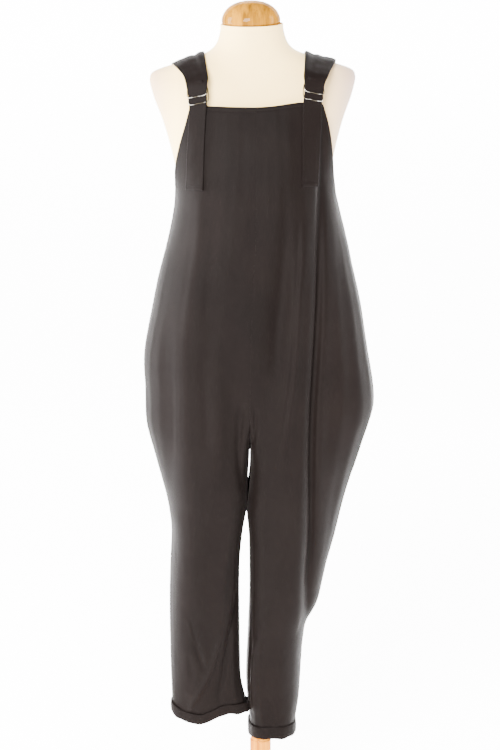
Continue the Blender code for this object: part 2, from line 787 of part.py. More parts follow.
def moved_out(ring, distance, side):
    """A level ring of points moved out, so that its sides move by the distance."""
    moved = []
    count = len(ring)
    for k, point in enumerate(ring):
        before = (point - ring[k - 1]).to_2d().normalized()
        after = (ring[(k + 1) % count] - point).to_2d().normalized()
        along = (before + after).normalized()
        away = -SIGN[side] * Vector((along.y, -along.x, 0.0))
        reach = distance / max(0.5, along.dot(after))
        moved.append(point + away * reach)
    return moved


def make_cuff(side, cloth):
    """The turned-up hem: a band all round the leg, made from the leg's own points moved out."""
    top, foot = CUFF_LEVEL[side], HEM_LEVEL[side]
    rings = []
    for height in (top, foot + HEM_LIFT, foot):
        ring = []
        front = Section(side, "front", height).row()
        back = Section(side, "back", height).row()
        for face, row in (("front", front), ("back", back[-2:0:-1])):
            for out, deep in row:
                z = hem_height(side, face, out, height)
                ring.append(Vector((SIGN[side] * out, deep, z)))
        rings.append(ring)
    inside = [moved_out(ring, LAID_GAP, side) for ring in rings]
    outside = [moved_out(ring, LAID_GAP + CUFF_CLOTH, side) for ring in rings]
    body = bmesh.new()
    loops = [[body.verts.new(point) for point in ring] for ring in outside + inside[::-1]]
    count = len(rings[0])
    for upper, lower in zip(loops, loops[1:] + loops[:1]):
        for k in range(count):
            after = (k + 1) % count
            body.faces.new((upper[k], upper[after], lower[after], lower[k]))
    add_object(f"cuff_{side}", body, cloth)


# ---------------------------------------------------------------- straps, tabs and rings


def mesh_tree(name):
    mesh = bpy.data.objects[name].data
    points = [vertex.co for vertex in mesh.vertices]
    return BVHTree.FromPolygons(points, [tuple(face.vertices) for face in mesh.polygons])


def taut_line(start, end, x, form):
    """The shortest line over the form in the plane x between two points, as (y, z) points."""
    middle = Vector((x, 0.5 * (start.y + end.y), BACK_TOP))
    line = [(start.y, start.z), (end.y, end.z)]
    for k in range(1, PROFILE_STEPS):
        turn = math.pi * k / PROFILE_STEPS
        direction = Vector((0.0, -math.cos(turn), math.sin(turn)))
        hit = form.ray_cast(middle + direction * 0.4, -direction)[0]
        if hit is not None:
            hit += direction * STRAP_CLEAR
            if start.y < hit.y < end.y and (hit.y > middle.y or hit.z > start.z):
                line.append((hit.y, hit.z))
    taut = []
    for point in sorted(line):
        here = Vector(point)
        while len(taut) > 1 and (taut[-1] - taut[-2]).cross(here - taut[-1]) >= 0.0:
            taut.pop()
        taut.append(here)
    return taut


def spaced(line, share):
    """The point at a share of the way along a line. Bends count for more than their length."""
    weights = []
    for k in range(len(line) - 1):
        ahead = line[k + 1] - line[k]
        turn = ahead.angle(line[k] - line[k - 1]) if k > 0 else 0.0
        turn += ahead.angle(line[k + 2] - line[k + 1]) if k + 2 < len(line) else 0.0
        weights.append(ahead.length + 0.5 * BEND_WEIGHT * turn)
    target = share * sum(weights)
    for k, weight in enumerate(weights):
        if target <= weight:
            return line[k].lerp(line[k + 1], target / weight)
        target -= weight
    return line[-1].copy()


def ring_frame(side, bib):
    """The plane of the strap where it passes the rings: x across, y into the wearer, z up."""
    out, height = RING_PLACE[side]
    x = SIGN[side] * out
    inward = Vector((0.0, 1.0, 0.0))
    starts = [Vector((x + 0.004 * k, -1.0, BIB_TOP - EDGE_INSET)) for k in range(-4, 5)]
    hits = [bib.ray_cast(start, inward)[0] for start in starts]
    hits = [hit for hit in hits if hit is not None]
    slope = (hits[-1].y - hits[0].y) / (hits[-1].x - hits[0].x)
    foremost = min(hit.y - slope * (hit.x - x) for hit in hits)
    yaw = math.atan(slope)
    place = Matrix.Translation((x, foremost - TAIL_GAP, height))
    roll = Matrix.Rotation(SIGN[side] * RING_ROLL, 4, "Y")
    return place @ Matrix.Rotation(yaw, 4, "Z") @ roll


def tail_row(side, height, bib):
    """A row of the tail's under side. Past the crest of the fold it runs straight on."""
    near, far = TAIL[side].read("near", height), TAIL[side].read("far", height)
    last = OUTLINE[side].read("crest", height) - 0.004
    inward = Vector((0.0, 1.0, 0.0))

    def depth(out):
        return bib.ray_cast(Vector((SIGN[side] * out, -1.0, height)), inward)[0].y

    row = []
    for k in range(STRAP_COLUMNS):
        out = lerp(near, far, k / (STRAP_COLUMNS - 1))
        if side == "left" and out > last:
            deep = depth(last) + (out - last) * (depth(last) - depth(last - 0.01)) / 0.01
        else:
            deep = depth(out)
        row.append(Vector((SIGN[side] * out, deep - TAIL_GAP, height)))
    return row


def strap_rows(side, form, bib, back):
    """Rows of points of a strap's under side, from its tail over the shoulder to the back."""
    frame = ring_frame(side, bib)
    heights = [TAIL_END[side]] + [z for z in TAIL_LEVELS if z > TAIL_END[side] + 0.004]
    rows = [tail_row(side, height, bib) for height in heights]
    half = STRAP_HALF_WIDTH
    parts = [k / (STRAP_COLUMNS - 1) for k in range(STRAP_COLUMNS)]
    for up in STRAP_LEVELS:
        rows.append(
            [frame @ Vector((SIGN[side] * lerp(-half, half, part), 0.0, up)) for part in parts]
        )
    starts = [
        frame @ Vector((SIGN[side] * lerp(-half, half, part), 0.0, STRAP_LEAVES)) for part in parts
    ]
    ends = []
    for part in parts:
        out = lerp(STRAP[side].read("near", 1.0), STRAP[side].read("far", 1.0), part)
        edge = Vector((SIGN[side] * out, 1.0, BACK_TOP - EDGE_INSET))
        face = back.ray_cast(edge, Vector((0.0, -1.0, 0.0)))[0]
        ends.append(Vector((face.x, face.y - CLOTH, BACK_TOP + SEAM_GAP)))
    for k in range(SHOULDER_ROWS + 1):
        along = k / SHOULDER_ROWS
        near, far = STRAP[side].read("near", along), STRAP[side].read("far", along)
        row = []
        for part, start, end in zip(parts, starts, ends):
            x = SIGN[side] * lerp(near, far, part)
            place = spaced(taut_line(start, end, x, form), along)
            row.append(Vector((lerp(start.x, x, min(1.0, along / 0.05)), place.x, place.y)))
        rows.append(row)
    return rows


def make_strap(side, cloth, form, bib, back):
    rows = strap_rows(side, form, bib, back)
    outward = SIGN[side] * DOUBLE_CLOTH
    over = [
        [point + outward * normal for point, normal in zip(row, line)]
        for row, line in zip(rows, grid_normals(rows))
    ]
    for point, under in zip(over[-1], rows[-1]):
        point.z = under.z
    add_object(f"strap_{side}", shell(over, rows), cloth)


def make_ring(name, frame, bar_up, metal):
    """A D-ring: a straight bar behind the strap and a bow in front of it, tilted between them."""
    half = 0.5 * RING_WIDTH - WIRE_RADIUS
    near, low = half - RING_CORNER, RING_REACH - RING_CORNER
    outline = [(0.0, 0.0)]
    for centre_across, centre_down, first in (
        (near, RING_CORNER, -0.5 * math.pi),
        (near, low, 0.0),
        (-near, low, 0.5 * math.pi),
        (-near, RING_CORNER, math.pi),
    ):
        for k in range(RING_CORNER_STEPS + 1):
            turn = first + 0.5 * math.pi * k / RING_CORNER_STEPS
            outline.append(
                (
                    centre_across + RING_CORNER * math.cos(turn),
                    centre_down + RING_CORNER * math.sin(turn),
                )
            )
    points = []
    for across, down in outline:
        deep = lerp(BAR_DEEP, BOW_DEEP, down / RING_REACH)
        points.append(frame @ Vector((across, deep, bar_up - down)))
    add_object(name, wire_loop(points, WIRE_RADIUS, 8), metal)


def wire_loop(points, radius, sides):
    """A closed wire of round section along a closed flat line of points."""
    body = bmesh.new()
    count = len(points)
    centre = sum(points, Vector()) / count
    normal = (points[0] - centre).cross(points[count // 4] - centre).normalized()
    loops = []
    for k, point in enumerate(points):
        along = (points[(k + 1) % count] - points[k - 1]).normalized()
        aside = along.cross(normal).normalized()
        loop = []
        for m in range(sides):
            turn = 2.0 * math.pi * m / sides
            spoke = math.cos(turn) * aside + math.sin(turn) * normal
            loop.append(body.verts.new(point + radius * spoke))
        loops.append(loop)
    for k in range(count):
        here, there = loops[k], loops[(k + 1) % count]
        for m in range(sides):
            after = (m + 1) % sides
            body.faces.new((here[m], there[m], there[after], here[after]))
    return body


def make_tab(side, cloth, frame, bib):
    """The loop of cloth round both rings' bars, with its tongue down behind the bib."""
    near, far = BAR_DEEP - TAB_ROOM, BAR_DEEP + TAB_ROOM
    top = RING_BAR_ABOVE
    low = RING_BAR_ABOVE - RING_DROP - TAB_BELOW_BAR
    arch = top + 0.85 * TAB_ROOM
    skew = 0.5 * TAB_CLOTH
    # (depth, height) pairs round the hollow and round the outside of the loop
    hollow = (
        (near, low),
        (near, top),
        (near + 0.5 * TAB_ROOM, arch),
        (far - 0.5 * TAB_ROOM, arch),
        (far, top),
        (far, low + 0.0045),
        (near + 0.0006, low),
    )
    skin = (
        (near - TAB_CLOTH, low - TAB_CLOTH),
        (near - TAB_CLOTH, top),
        (near + 0.5 * TAB_ROOM - skew, arch + TAB_CLOTH),
        (far - 0.5 * TAB_ROOM + skew, arch + TAB_CLOTH),
        (far + TAB_CLOTH, top),
        (far + TAB_CLOTH, low + 0.0041),
        (near + 1.4 * TAB_CLOTH, low - 2.0 * TAB_CLOTH),
    )
    body = bmesh.new()
    slices = []
    for across in (-0.5 * TAB_WIDTH, 0.0, 0.5 * TAB_WIDTH):
        inner = [body.verts.new(frame @ Vector((across, y, z))) for y, z in hollow]
        outer = [body.verts.new(frame @ Vector((across, y, z))) for y, z in skin]
        tongue = []
        for up in TONGUE_LEVELS:
            place = frame @ Vector((across, 0.0, up))
            edge = BIB_TOP + top_lift(side, SIGN[side] * place.x, BIB_TOP) - EDGE_INSET
            if up == TONGUE_LEVELS[1]:
                place.z = edge
            start = Vector((place.x, 0.0, min(place.z, edge)))
            face = bib.ray_cast(start, Vector((0.0, -1.0, 0.0)))[0]
            for layer in (TAIL_GAP, TAIL_GAP + 2.0 * TAB_CLOTH):
                tongue.append(body.verts.new(Vector((place.x, face.y + layer, place.z))))
        slices.append((inner, outer, tongue))
    count = len(hollow)
    for here, there in zip(slices, slices[1:]):
        for k in range(count):
            after = (k + 1) % count
            body.faces.new((here[0][k], here[0][after], there[0][after], there[0][k]))
            if after != 0:
                body.faces.new((here[1][k], there[1][k], there[1][after], here[1][after]))
        front = [here[1][0]] + here[2][0::2], [there[1][0]] + there[2][0::2]
        rear = [here[1][-1]] + here[2][1::2], [there[1][-1]] + there[2][1::2]
        for k in range(len(TONGUE_LEVELS)):
            body.faces.new((front[0][k + 1], front[1][k + 1], front[1][k], front[0][k]))
            body.faces.new((rear[0][k], rear[1][k], rear[1][k + 1], rear[0][k + 1]))
        body.faces.new((here[2][-2], here[2][-1], there[2][-1], there[2][-2]))
    for inner, outer, tongue in (slices[0], slices[-1]):
        faces = [
            (inner[k], outer[k], outer[(k + 1) % count], inner[(k + 1) % count])
            for k in range(count)
        ]
        pairs = [(outer[0], outer[-1])] + list(zip(tongue[0::2], tongue[1::2]))
        faces += [
            (high[0], low_pair[0], low_pair[1], high[1])
            for high, low_pair in zip(pairs, pairs[1:])
        ]
        for face in faces:
            body.faces.new(face)
    add_object(f"tab_{side}", body, cloth)


def build():
    clear_scene()
    cloth = material("crepe_charcoal_brown", (0.052, 0.038, 0.036), 0.8)
    cover = material("form_cover_cream", (0.86, 0.80, 0.68), 0.85)
    wood = material("turned_beech", (0.78, 0.52, 0.27), 0.45)
    metal = material("ring_steel", (0.72, 0.70, 0.68), 0.25, 1.0)
    make_form(cover, wood)
    form = mesh_tree("form_body")
    for side in ("right", "left"):
        make_panel(side, "front", cloth)
        make_panel(side, "back", cloth)
        make_cuff(side, cloth)
        bib, back = mesh_tree(f"front_{side}"), mesh_tree(f"back_{side}")
        make_strap(side, cloth, form, bib, back)
        frame = ring_frame(side, bib)
        make_ring(f"ring_{side}_upper", frame, RING_BAR_ABOVE, metal)
        make_ring(f"ring_{side}_lower", frame, RING_BAR_ABOVE - RING_DROP, metal)
        make_tab(side, cloth, frame, bib)


build()
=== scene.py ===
import math

import bmesh
import bpy
import numpy as np
from mathutils import Matrix, Vector
from mathutils import noise
from mathutils.bvhtree import BVHTree
from mathutils.geometry import area_tri, barycentric_transform


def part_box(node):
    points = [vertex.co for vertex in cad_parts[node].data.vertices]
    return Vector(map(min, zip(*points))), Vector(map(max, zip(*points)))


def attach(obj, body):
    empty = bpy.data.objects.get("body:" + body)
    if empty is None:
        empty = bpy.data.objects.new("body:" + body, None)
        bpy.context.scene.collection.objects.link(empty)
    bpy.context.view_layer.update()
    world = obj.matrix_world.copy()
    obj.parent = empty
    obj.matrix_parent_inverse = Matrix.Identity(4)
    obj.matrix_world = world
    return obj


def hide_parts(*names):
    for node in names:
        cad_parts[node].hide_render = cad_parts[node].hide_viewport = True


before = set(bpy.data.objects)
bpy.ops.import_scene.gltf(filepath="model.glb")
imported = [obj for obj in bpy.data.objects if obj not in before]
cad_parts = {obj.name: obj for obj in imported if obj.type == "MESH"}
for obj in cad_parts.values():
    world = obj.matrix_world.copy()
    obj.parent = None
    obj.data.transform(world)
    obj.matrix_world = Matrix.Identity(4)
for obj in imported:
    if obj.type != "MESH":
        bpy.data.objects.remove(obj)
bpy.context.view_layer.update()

# ---------------------------------------------------------------- wooden base and pole
# The stand is turned from beech and varnished: a flat disc with a softened rim, and a
# straight pole that runs down inside the left trouser leg. The foot of the pole is a
# little thicker, where it is pushed into its socket.

WHITE = (1.0, 1.0, 1.0)


def connect(tree, node, inputs):
    """Sets a node's inputs to values, or links them to the outputs of other nodes."""
    for name, value in inputs.items():
        if isinstance(value, bpy.types.NodeSocket):
            tree.links.new(value, node.inputs[name])
        else:
            node.inputs[name].default_value = value


def added(tree, kind, output, inputs=None, **settings):
    """Adds a node with its settings and inputs, and gives back one of its outputs."""
    node = tree.nodes.new(kind)
    for name, value in settings.items():
        setattr(node, name, value)
    connect(tree, node, inputs or {})
    return node.outputs[output]


def material(name, settings):
    """A new material, its node tree, and its shader with these settings."""
    made = bpy.data.materials.new(name)
    made.use_nodes = True
    shader = made.node_tree.nodes["Principled BSDF"]
    connect(made.node_tree, shader, settings)
    return made, made.node_tree, shader


def noisy(tree, place, scale, detail, **more):
    """Soft noise at a scale, which is one number or one for each axis."""
    if isinstance(scale, tuple):
        place = added(tree, "ShaderNodeMapping", "Vector", {"Vector": place, "Scale": scale})
        scale = 1.0
    inputs = {"Vector": place, "Scale": scale, "Detail": detail, **more}
    return added(tree, "ShaderNodeTexNoise", "Fac", inputs)


def ramp(tree, value, *stops):
    """The colours that go with a value, from (value, colour) stops."""
    colours = added(tree, "ShaderNodeValToRGB", "Color", {"Fac": value})
    elements = colours.node.color_ramp.elements
    for element, (position, colour) in zip(elements, (stops[0], stops[-1])):
        element.position, element.color = position, (*colour, 1.0)
    for position, colour in stops[1:-1]:
        elements.new(position).color = (*colour, 1.0)
    return colours


def multiplied(tree, first, second, share):
    inputs = {"Factor": share, "A": first, "B": second}
    return added(
        tree, "ShaderNodeMix", "Result", inputs, data_type="RGBA", blend_type="MULTIPLY"
    )


def raised(tree, height, strength, distance):
    inputs = {"Height": height, "Strength": strength, "Distance": distance}
    return added(tree, "ShaderNodeBump", "Normal", inputs)


def wood(name, pale, dark, grain, stripes, roughness):
    """Varnished beech: long fibres, with broad growth bands across them."""
    made, tree, shader = material(name, {
        "Roughness": roughness, "Specular IOR Level": 0.0,
        "Coat Weight": 0.12, "Coat Roughness": 0.07,
    })
    place = added(tree, "ShaderNodeTexCoord", "Object")
    bands = noisy(tree, place, stripes, 3.0, Roughness=0.55, Distortion=0.4)
    fibres = noisy(tree, place, grain, 4.0)
    tone = ramp(tree, bands, (0.36, dark), (0.60, pale))
    fleck = ramp(tree, fibres, (0.35, (0.80, 0.72, 0.62)), (0.62, WHITE))
    connect(tree, shader, {
        "Base Color": multiplied(tree, tone, fleck, 0.8),
        "Normal": raised(tree, fibres, 0.15, 0.0003),
    })
    return made


def mesh_of(body, name):
    mesh = bpy.data.meshes.new(name)
    body.to_mesh(mesh)
    body.free()
    return mesh


def smoothed(mesh, sharp, covering):
    """Shades a mesh smooth up to edges of so many degrees, and gives it its material."""
    mesh.shade_smooth()
    mesh.set_sharp_from_angle(angle=math.radians(sharp))
    mesh.materials.clear()
    mesh.materials.append(covering)


def in_scene(name, mesh):
    piece = bpy.data.objects.new(name, mesh)
    bpy.context.collection.objects.link(piece)
    return piece


def turned_piece(name, profile, covering):
    """A piece turned on the lathe, from (radius, height) rows, bottom to top."""
    body = bmesh.new()
    chain = [body.verts.new((radius, 0.0, height)) for radius, height in profile]
    line = [body.edges.new(pair) for pair in zip(chain, chain[1:])]
    bmesh.ops.spin(
        body, geom=chain + line, cent=(0.0, 0.0, 0.0), axis=(0.0, 0.0, 1.0),
        angle=2.0 * math.pi, steps=96, use_merge=True,
    )
    bmesh.ops.remove_doubles(body, verts=body.verts, dist=0.00001)
    bmesh.ops.recalc_face_normals(body, faces=body.faces)
    mesh = mesh_of(body, name)
    smoothed(mesh, 50.0, covering)
    return in_scene(name, mesh)


def rounded(radius, low, high, soft):
    """Half of a turned rim: up the side from low to high, with both corners rounded."""
    turns = [0.5 * math.pi * k / 6 for k in range(7)]
    bends = [(soft * (1.0 - math.sin(turn)), soft * (1.0 - math.cos(turn))) for turn in turns]
    foot = [(radius - inwards, low + up) for inwards, up in bends]
    return foot + [(radius - inwards, high - down) for down, inwards in bends]


low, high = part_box("stand_base")
base_rows = [(0.0, low.z)] + rounded(high.x, low.z, high.z, 0.005) + [(0.0, high.z)]
base_wood = wood(
    "beech_base", pale=(0.58, 0.23, 0.016), dark=(0.38, 0.125, 0.009),
    grain=(420.0, 14.0, 420.0), stripes=(55.0, 3.0, 55.0), roughness=0.38,
)
base = turned_piece("base_disc", base_rows, base_wood)
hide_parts("stand_base")
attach(base, "root")

POLE_RADIUS = 0.0190
FOOT_TOP = 0.186
STEP = 0.0015  # height of the slope between the foot and the shaft
low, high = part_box("pole")
pole_rows = (
    [(0.0, low.z)]
    + rounded(high.x, low.z, FOOT_TOP + STEP, 0.0014)
    + [(POLE_RADIUS, FOOT_TOP + 2.0 * STEP), (POLE_RADIUS, high.z), (0.0, high.z)]
)
pole_wood = wood(
    "beech_pole", pale=(0.66, 0.25, 0.010), dark=(0.42, 0.130, 0.006),
    grain=(520.0, 520.0, 12.0), stripes=(70.0, 70.0, 2.0), roughness=0.36,
)
pole = turned_piece("pole_shaft", pole_rows, pole_wood)
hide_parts("pole")
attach(pole, "root")

# ---------------------------------------------------------------- dress form
# A padded body without limbs, covered in cream jersey that is pulled down over the neck
# and turned in round the wooden cap. The jersey shows a fine knit and slight shading, and
# its edge stands a few millimetres proud round the foot of the cap.

NECK_TILT = math.radians(7.0)
FORM_LEAN = math.radians(0.75)
FORM_OFFSET = -0.0084
FORM_FOOT = 0.890
NECK_TOP = 1.6160
form_place = (
    Matrix.Translation((FORM_OFFSET, 0.0, FORM_FOOT))
    @ Matrix.Rotation(-FORM_LEAN, 4, "Y")
    @ Matrix.Translation((0.0, 0.0, -FORM_FOOT))
)


def along(tree, place, axis):
    return added(tree, "ShaderNodeSeparateXYZ", axis, {"Vector": place})


def ranged(tree, value, start, end, first, last):
    """A value between start and end, turned into one between first and last."""
    inputs = {"From Min": start, "From Max": end, "To Min": first, "To Max": last}
    return added(tree, "ShaderNodeMapRange", "Result", {"Value": value, **inputs})


def jersey_cover():
    """Cream jersey with a fine knit, and painted shade that turns it greyer towards both
    shoulders.
    """
    made, tree, shader = material(
        "cream_jersey", {"Roughness": 0.85, "Sheen Weight": 0.25, "Sheen Roughness": 0.5}
    )
    place = added(tree, "ShaderNodeTexCoord", "Object")
    tone = ramp(
        tree, noisy(tree, place, 9.0, 4.0),
        (0.30, (0.950, 0.660, 0.250)), (0.70, (0.970, 0.700, 0.290)),
    )
    # painted shade: the cover turns greyer towards both sides of the form, most on the wearer's
    # left (+x)
    painted_side_shade = ramp(
        tree, ranged(tree, along(tree, place, "X"), -0.20, 0.20, 0.0, 1.0),
        (0.0, (0.62, 0.58, 0.80)), (0.10, WHITE), (0.70, WHITE), (0.95, (0.36, 0.33, 0.68)),
    )
    knit = noisy(tree, place, (900.0, 900.0, 620.0), 2.0)
    connect(tree, shader, {
        "Base Color": multiplied(tree, tone, painted_side_shade, 1.0),
        "Normal": raised(tree, knit, 0.35, 0.0004),
    })
    return made


def solid_copy(node):
    """A solid's own faces, welded together."""
    body = bmesh.new()
    body.from_mesh(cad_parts[node].data)
    bmesh.ops.remove_doubles(body, verts=body.verts, dist=0.00002)
    return body


def settled(piece):
    """Turns a piece with a modifier into plain mesh."""
    finished = piece.evaluated_get(bpy.context.evaluated_depsgraph_get())
    piece.data = bpy.data.meshes.new_from_object(finished)
    piece.modifiers.clear()


def softened(node, name, covering):
    """A finer copy of a solid: its flats rounded off, its real edges kept."""
    body = solid_copy(node)
    flat = {"angle_face_threshold": math.radians(30.0), "angle_shape_threshold": math.pi}
    bmesh.ops.join_triangles(body, faces=body.faces, **flat)
    held = body.edges.layers.float.new("crease_edge")
    for edge in body.edges:
        if edge.is_manifold and edge.calc_face_angle() > math.radians(60.0):
            edge[held] = 1.0
    piece = in_scene(name, mesh_of(body, name))
    rounding = piece.modifiers.new("rounding", "SUBSURF")
    rounding.levels = rounding.render_levels = 2
    settled(piece)
    smoothed(piece.data, 50.0, covering)
    return piece


def onto_neck(piece, x, z):
    """Moves a piece that was made at the origin to the tilted top of the neck."""
    top = Matrix.Translation((x, 0.0, NECK_TOP + z)) @ Matrix.Rotation(NECK_TILT, 4, "X")
    piece.data.transform(form_place @ top)


jersey = jersey_cover()
form = softened("form_body", "form_cover", jersey)
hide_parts("form_body")
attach(form, "root")

HEM_RADIUS = 0.0578
HEM_WALL = 0.0013
HEM_RISE = 0.0024
hem_rows = [(HEM_RADIUS + HEM_WALL, -0.0060)]
for k in range(13):
    turn = math.pi * k / 12
    hem_rows.append((HEM_RADIUS + HEM_WALL * math.cos(turn), HEM_RISE + HEM_WALL * math.sin(turn)))
hem_rows.append((HEM_RADIUS - HEM_WALL, 0.0004))
neck_edge = turned_piece("neck_edge", hem_rows, jersey)
onto_neck(neck_edge, 0.0, 0.0)
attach(neck_edge, "root")

# ---------------------------------------------------------------- neck cap
# A flattened dome of turned and varnished beech with upright grain, let into the neck.

CAP_RADIUS = 0.0554
CAP_FOOT_RADIUS = 0.0492
CAP_HEIGHT = 0.0458
CAP_WAIST = 0.0085
CAP_ROLL = 0.0040  # how far the side draws in below the waist
CAP_SHIFT = -0.0015
CAP_GAP = 0.0003
cap_rows = [(0.0, 0.0), (CAP_FOOT_RADIUS, 0.0)]
for k in range(4):
    turn = 0.5 * math.pi * k / 3
    cap_rows.append((CAP_RADIUS - CAP_ROLL * (1.0 - math.sin(turn)), CAP_WAIST * (k + 0.3) / 3.3))
for k in range(1, 19):
    turn = 0.5 * math.pi * k / 18
    radius = CAP_RADIUS * math.cos(turn) ** 0.86
    cap_rows.append((radius, CAP_WAIST + (CAP_HEIGHT - CAP_WAIST) * math.sin(turn) ** 1.04))
cap_wood = wood(
    "beech_cap", pale=(0.35, 0.150, 0.004), dark=(0.165, 0.068, 0.002),
    grain=(380.0, 380.0, 16.0), stripes=(105.0, 30.0, 4.0), roughness=0.30,
)
cap = turned_piece("cap_dome", cap_rows, cap_wood)
onto_neck(cap, CAP_SHIFT, CAP_GAP)
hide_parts("neck_cap")
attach(cap, "root")

# ---------------------------------------------------------------- fronts and backs
# Four long pieces of dark crepe, each a bib or back body and a trouser leg in one. They are
# sewn together at the centre, at the sides and inside the legs, with pressed seams, and the
# cloth hangs in long folds from the form's chest. The folds are pressed in below, along listed
# lines.


def maths(tree, operation, *values):
    """A sum on values or on the outputs of other nodes."""
    inputs = dict(enumerate(values))
    return added(tree, "ShaderNodeMath", "Value", inputs, operation=operation)


def crepe():
    """Smooth dark crepe: a fine twill grain, a slight sheen, uneven depth of colour, and painted
    light that makes it paler towards the wearer's left side.
    """
    made, tree, shader = material("charcoal_crepe", {
        "Roughness": 0.60, "Specular IOR Level": 0.035, "Sheen Weight": 0.024,
        "Sheen Roughness": 0.35, "Sheen Tint": (1.0, 0.86, 0.82, 1.0),
    })
    place = added(tree, "ShaderNodeTexCoord", "Object")
    cut = added(tree, "ShaderNodeUVMap", "UV", uv_map="cut")
    tone = ramp(
        tree, noisy(tree, place, 11.0, 5.0),
        (0.30, (0.0034, 0.0022, 0.0019)), (0.72, (0.0044, 0.0029, 0.0025)),
    )
    # painted light: the tone grows up to 30% paler towards the wearer's left side (+x)
    painted_side_light = ranged(tree, along(tree, place, "X"), 0.02, 0.16, 1.0, 1.30)
    tone = added(
        tree, "ShaderNodeVectorMath", "Vector", {"Vector": tone, "Scale": painted_side_light},
        operation="SCALE",
    )
    slant = (0.0, 0.0, math.radians(63.0))
    slanted = added(tree, "ShaderNodeMapping", "Vector", {"Vector": cut, "Rotation": slant})
    twill = added(
        tree, "ShaderNodeTexWave", "Fac",
        {"Vector": slanted, "Scale": 360.0, "Distortion": 1.2, "Detail": 1.0, "Detail Scale": 2.5},
        wave_type="BANDS", bands_direction="X",
    )
    yarn = noisy(tree, cut, (2600.0, 420.0, 1.0), 2.0)
    grain = maths(tree, "MULTIPLY_ADD", twill, 0.45, yarn)
    connect(tree, shader, {
        "Base Color": multiplied(tree, tone, grain, 0.22),
        "Normal": raised(tree, grain, 0.30, 0.00025),
    })
    return made


def patches(faces, turn):
    """The faces in groups that hang together over edges that turn less than the limit."""
    left = set(faces)
    groups = []
    for first in faces:
        if first not in left:
            continue
        group, waiting = set(), [first]
        while waiting:
            face = waiting.pop()
            if face in left:
                left.discard(face)
                group.add(face)
                for edge in face.edges:
                    if edge.is_manifold and edge.calc_face_angle(0.0) < turn:
                        waiting.extend(edge.link_faces)
        groups.append(group)
    return groups


def mean_width(group):
    """How wide a long narrow group of faces is."""
    rim = sum(
        edge.calc_length()
        for face in group
        for edge in face.edges
        if any(other not in group for other in edge.link_faces)
    )
    return 2.0 * sum(face.calc_area() for face in group) / max(rim, 1e-6)


def keep_only(body, kept):
    others = [face for face in body.faces if face not in kept]
    bmesh.ops.delete(body, geom=others, context="FACES")


def outer_face(node, wall, centre):
    """The outer side of a cloth solid as a loose surface, without its cut edges and inside."""
    body = solid_copy(node)

    def outward(group):
        middles = [(face, face.calc_center_median()) for face in group]
        return sum(
            face.calc_area() * face.normal.dot(middle - centre(middle)) for face, middle in middles
        )

    side = {}
    for group in patches(list(body.faces), math.radians(40.0)):
        if mean_width(group) > 1.3 * wall:
            side.update(dict.fromkeys(group, math.copysign(1.0, outward(group))))
    lean = {
        point: sum(side.get(face, 0.0) * face.calc_area() for face in point.link_faces)
        for point in body.verts
    }
    keep_only(body, {
        face
        for face in body.faces
        if side.get(face, 0.0) > 0.0 and min(lean[point] for point in face.verts) > 0.0
    })
    keep_only(body, max(patches(list(body.faces), math.pi), key=len))
    body.verts.index_update()
    return body


def edge_loops(body):
    """The open edges of a surface as closed loops of points, the longest first."""
    loops = []
    open_edges = {edge for edge in body.edges if edge.is_boundary}
    while open_edges:
        edge = min(open_edges, key=lambda found: found.index)
        loop = [edge.verts[0]]
        point = edge.verts[1]
        open_edges.discard(edge)
        while point is not loop[0]:
            loop.append(point)
            edge = next(found for found in point.link_edges if found in open_edges)
            open_edges.discard(edge)
            point = edge.other_vert(point)
        loops.append(loop)
    return sorted(loops, key=len, reverse=True)


def evened(body, low, high):
    """A number for each point: 0 on the low points, 1 on the high ones, even in between."""
    count = len(body.verts)
    matrix = np.zeros((count, count))
    for face in body.faces:
        for corner in face.loops:
            spread = min(20.0, 1.0 / math.tan(max(0.02, min(3.1, corner.calc_angle()))))
            first = corner.link_loop_next.vert.index
            second = corner.link_loop_prev.vert.index
            matrix[first, second] += spread
            matrix[second, first] += spread
    matrix = np.maximum(matrix, 0.0)
    matrix = np.diag(matrix.sum(axis=1) + 1e-9) - matrix
    wanted = np.zeros(count)
    for points, value in ((low, 0.0), (high, 1.0)):
        for point in points:
            matrix[point.index] = 0.0
            matrix[point.index, point.index] = 1.0
            wanted[point.index] = value
    return np.linalg.solve(matrix, wanted)


def softly(grid, axis, reach):
    """Evens out a grid of points along one axis, with its edges kept where they are."""
    size = int(3.0 * reach) + 1
    share = np.exp(-0.5 * (np.arange(-size, size + 1) / reach) ** 2)
    share /= share.sum()
    moved = np.moveaxis(grid, axis, 0)
    before = 2.0 * moved[:1] - moved[size:0:-1]
    after = 2.0 * moved[-1:] - moved[-2 : -size - 2 : -1]
    padded = np.concatenate((before, moved, after))
    result = sum(part * padded[k : k + len(moved)] for k, part in enumerate(share))
    return np.moveaxis(result, 0, axis)


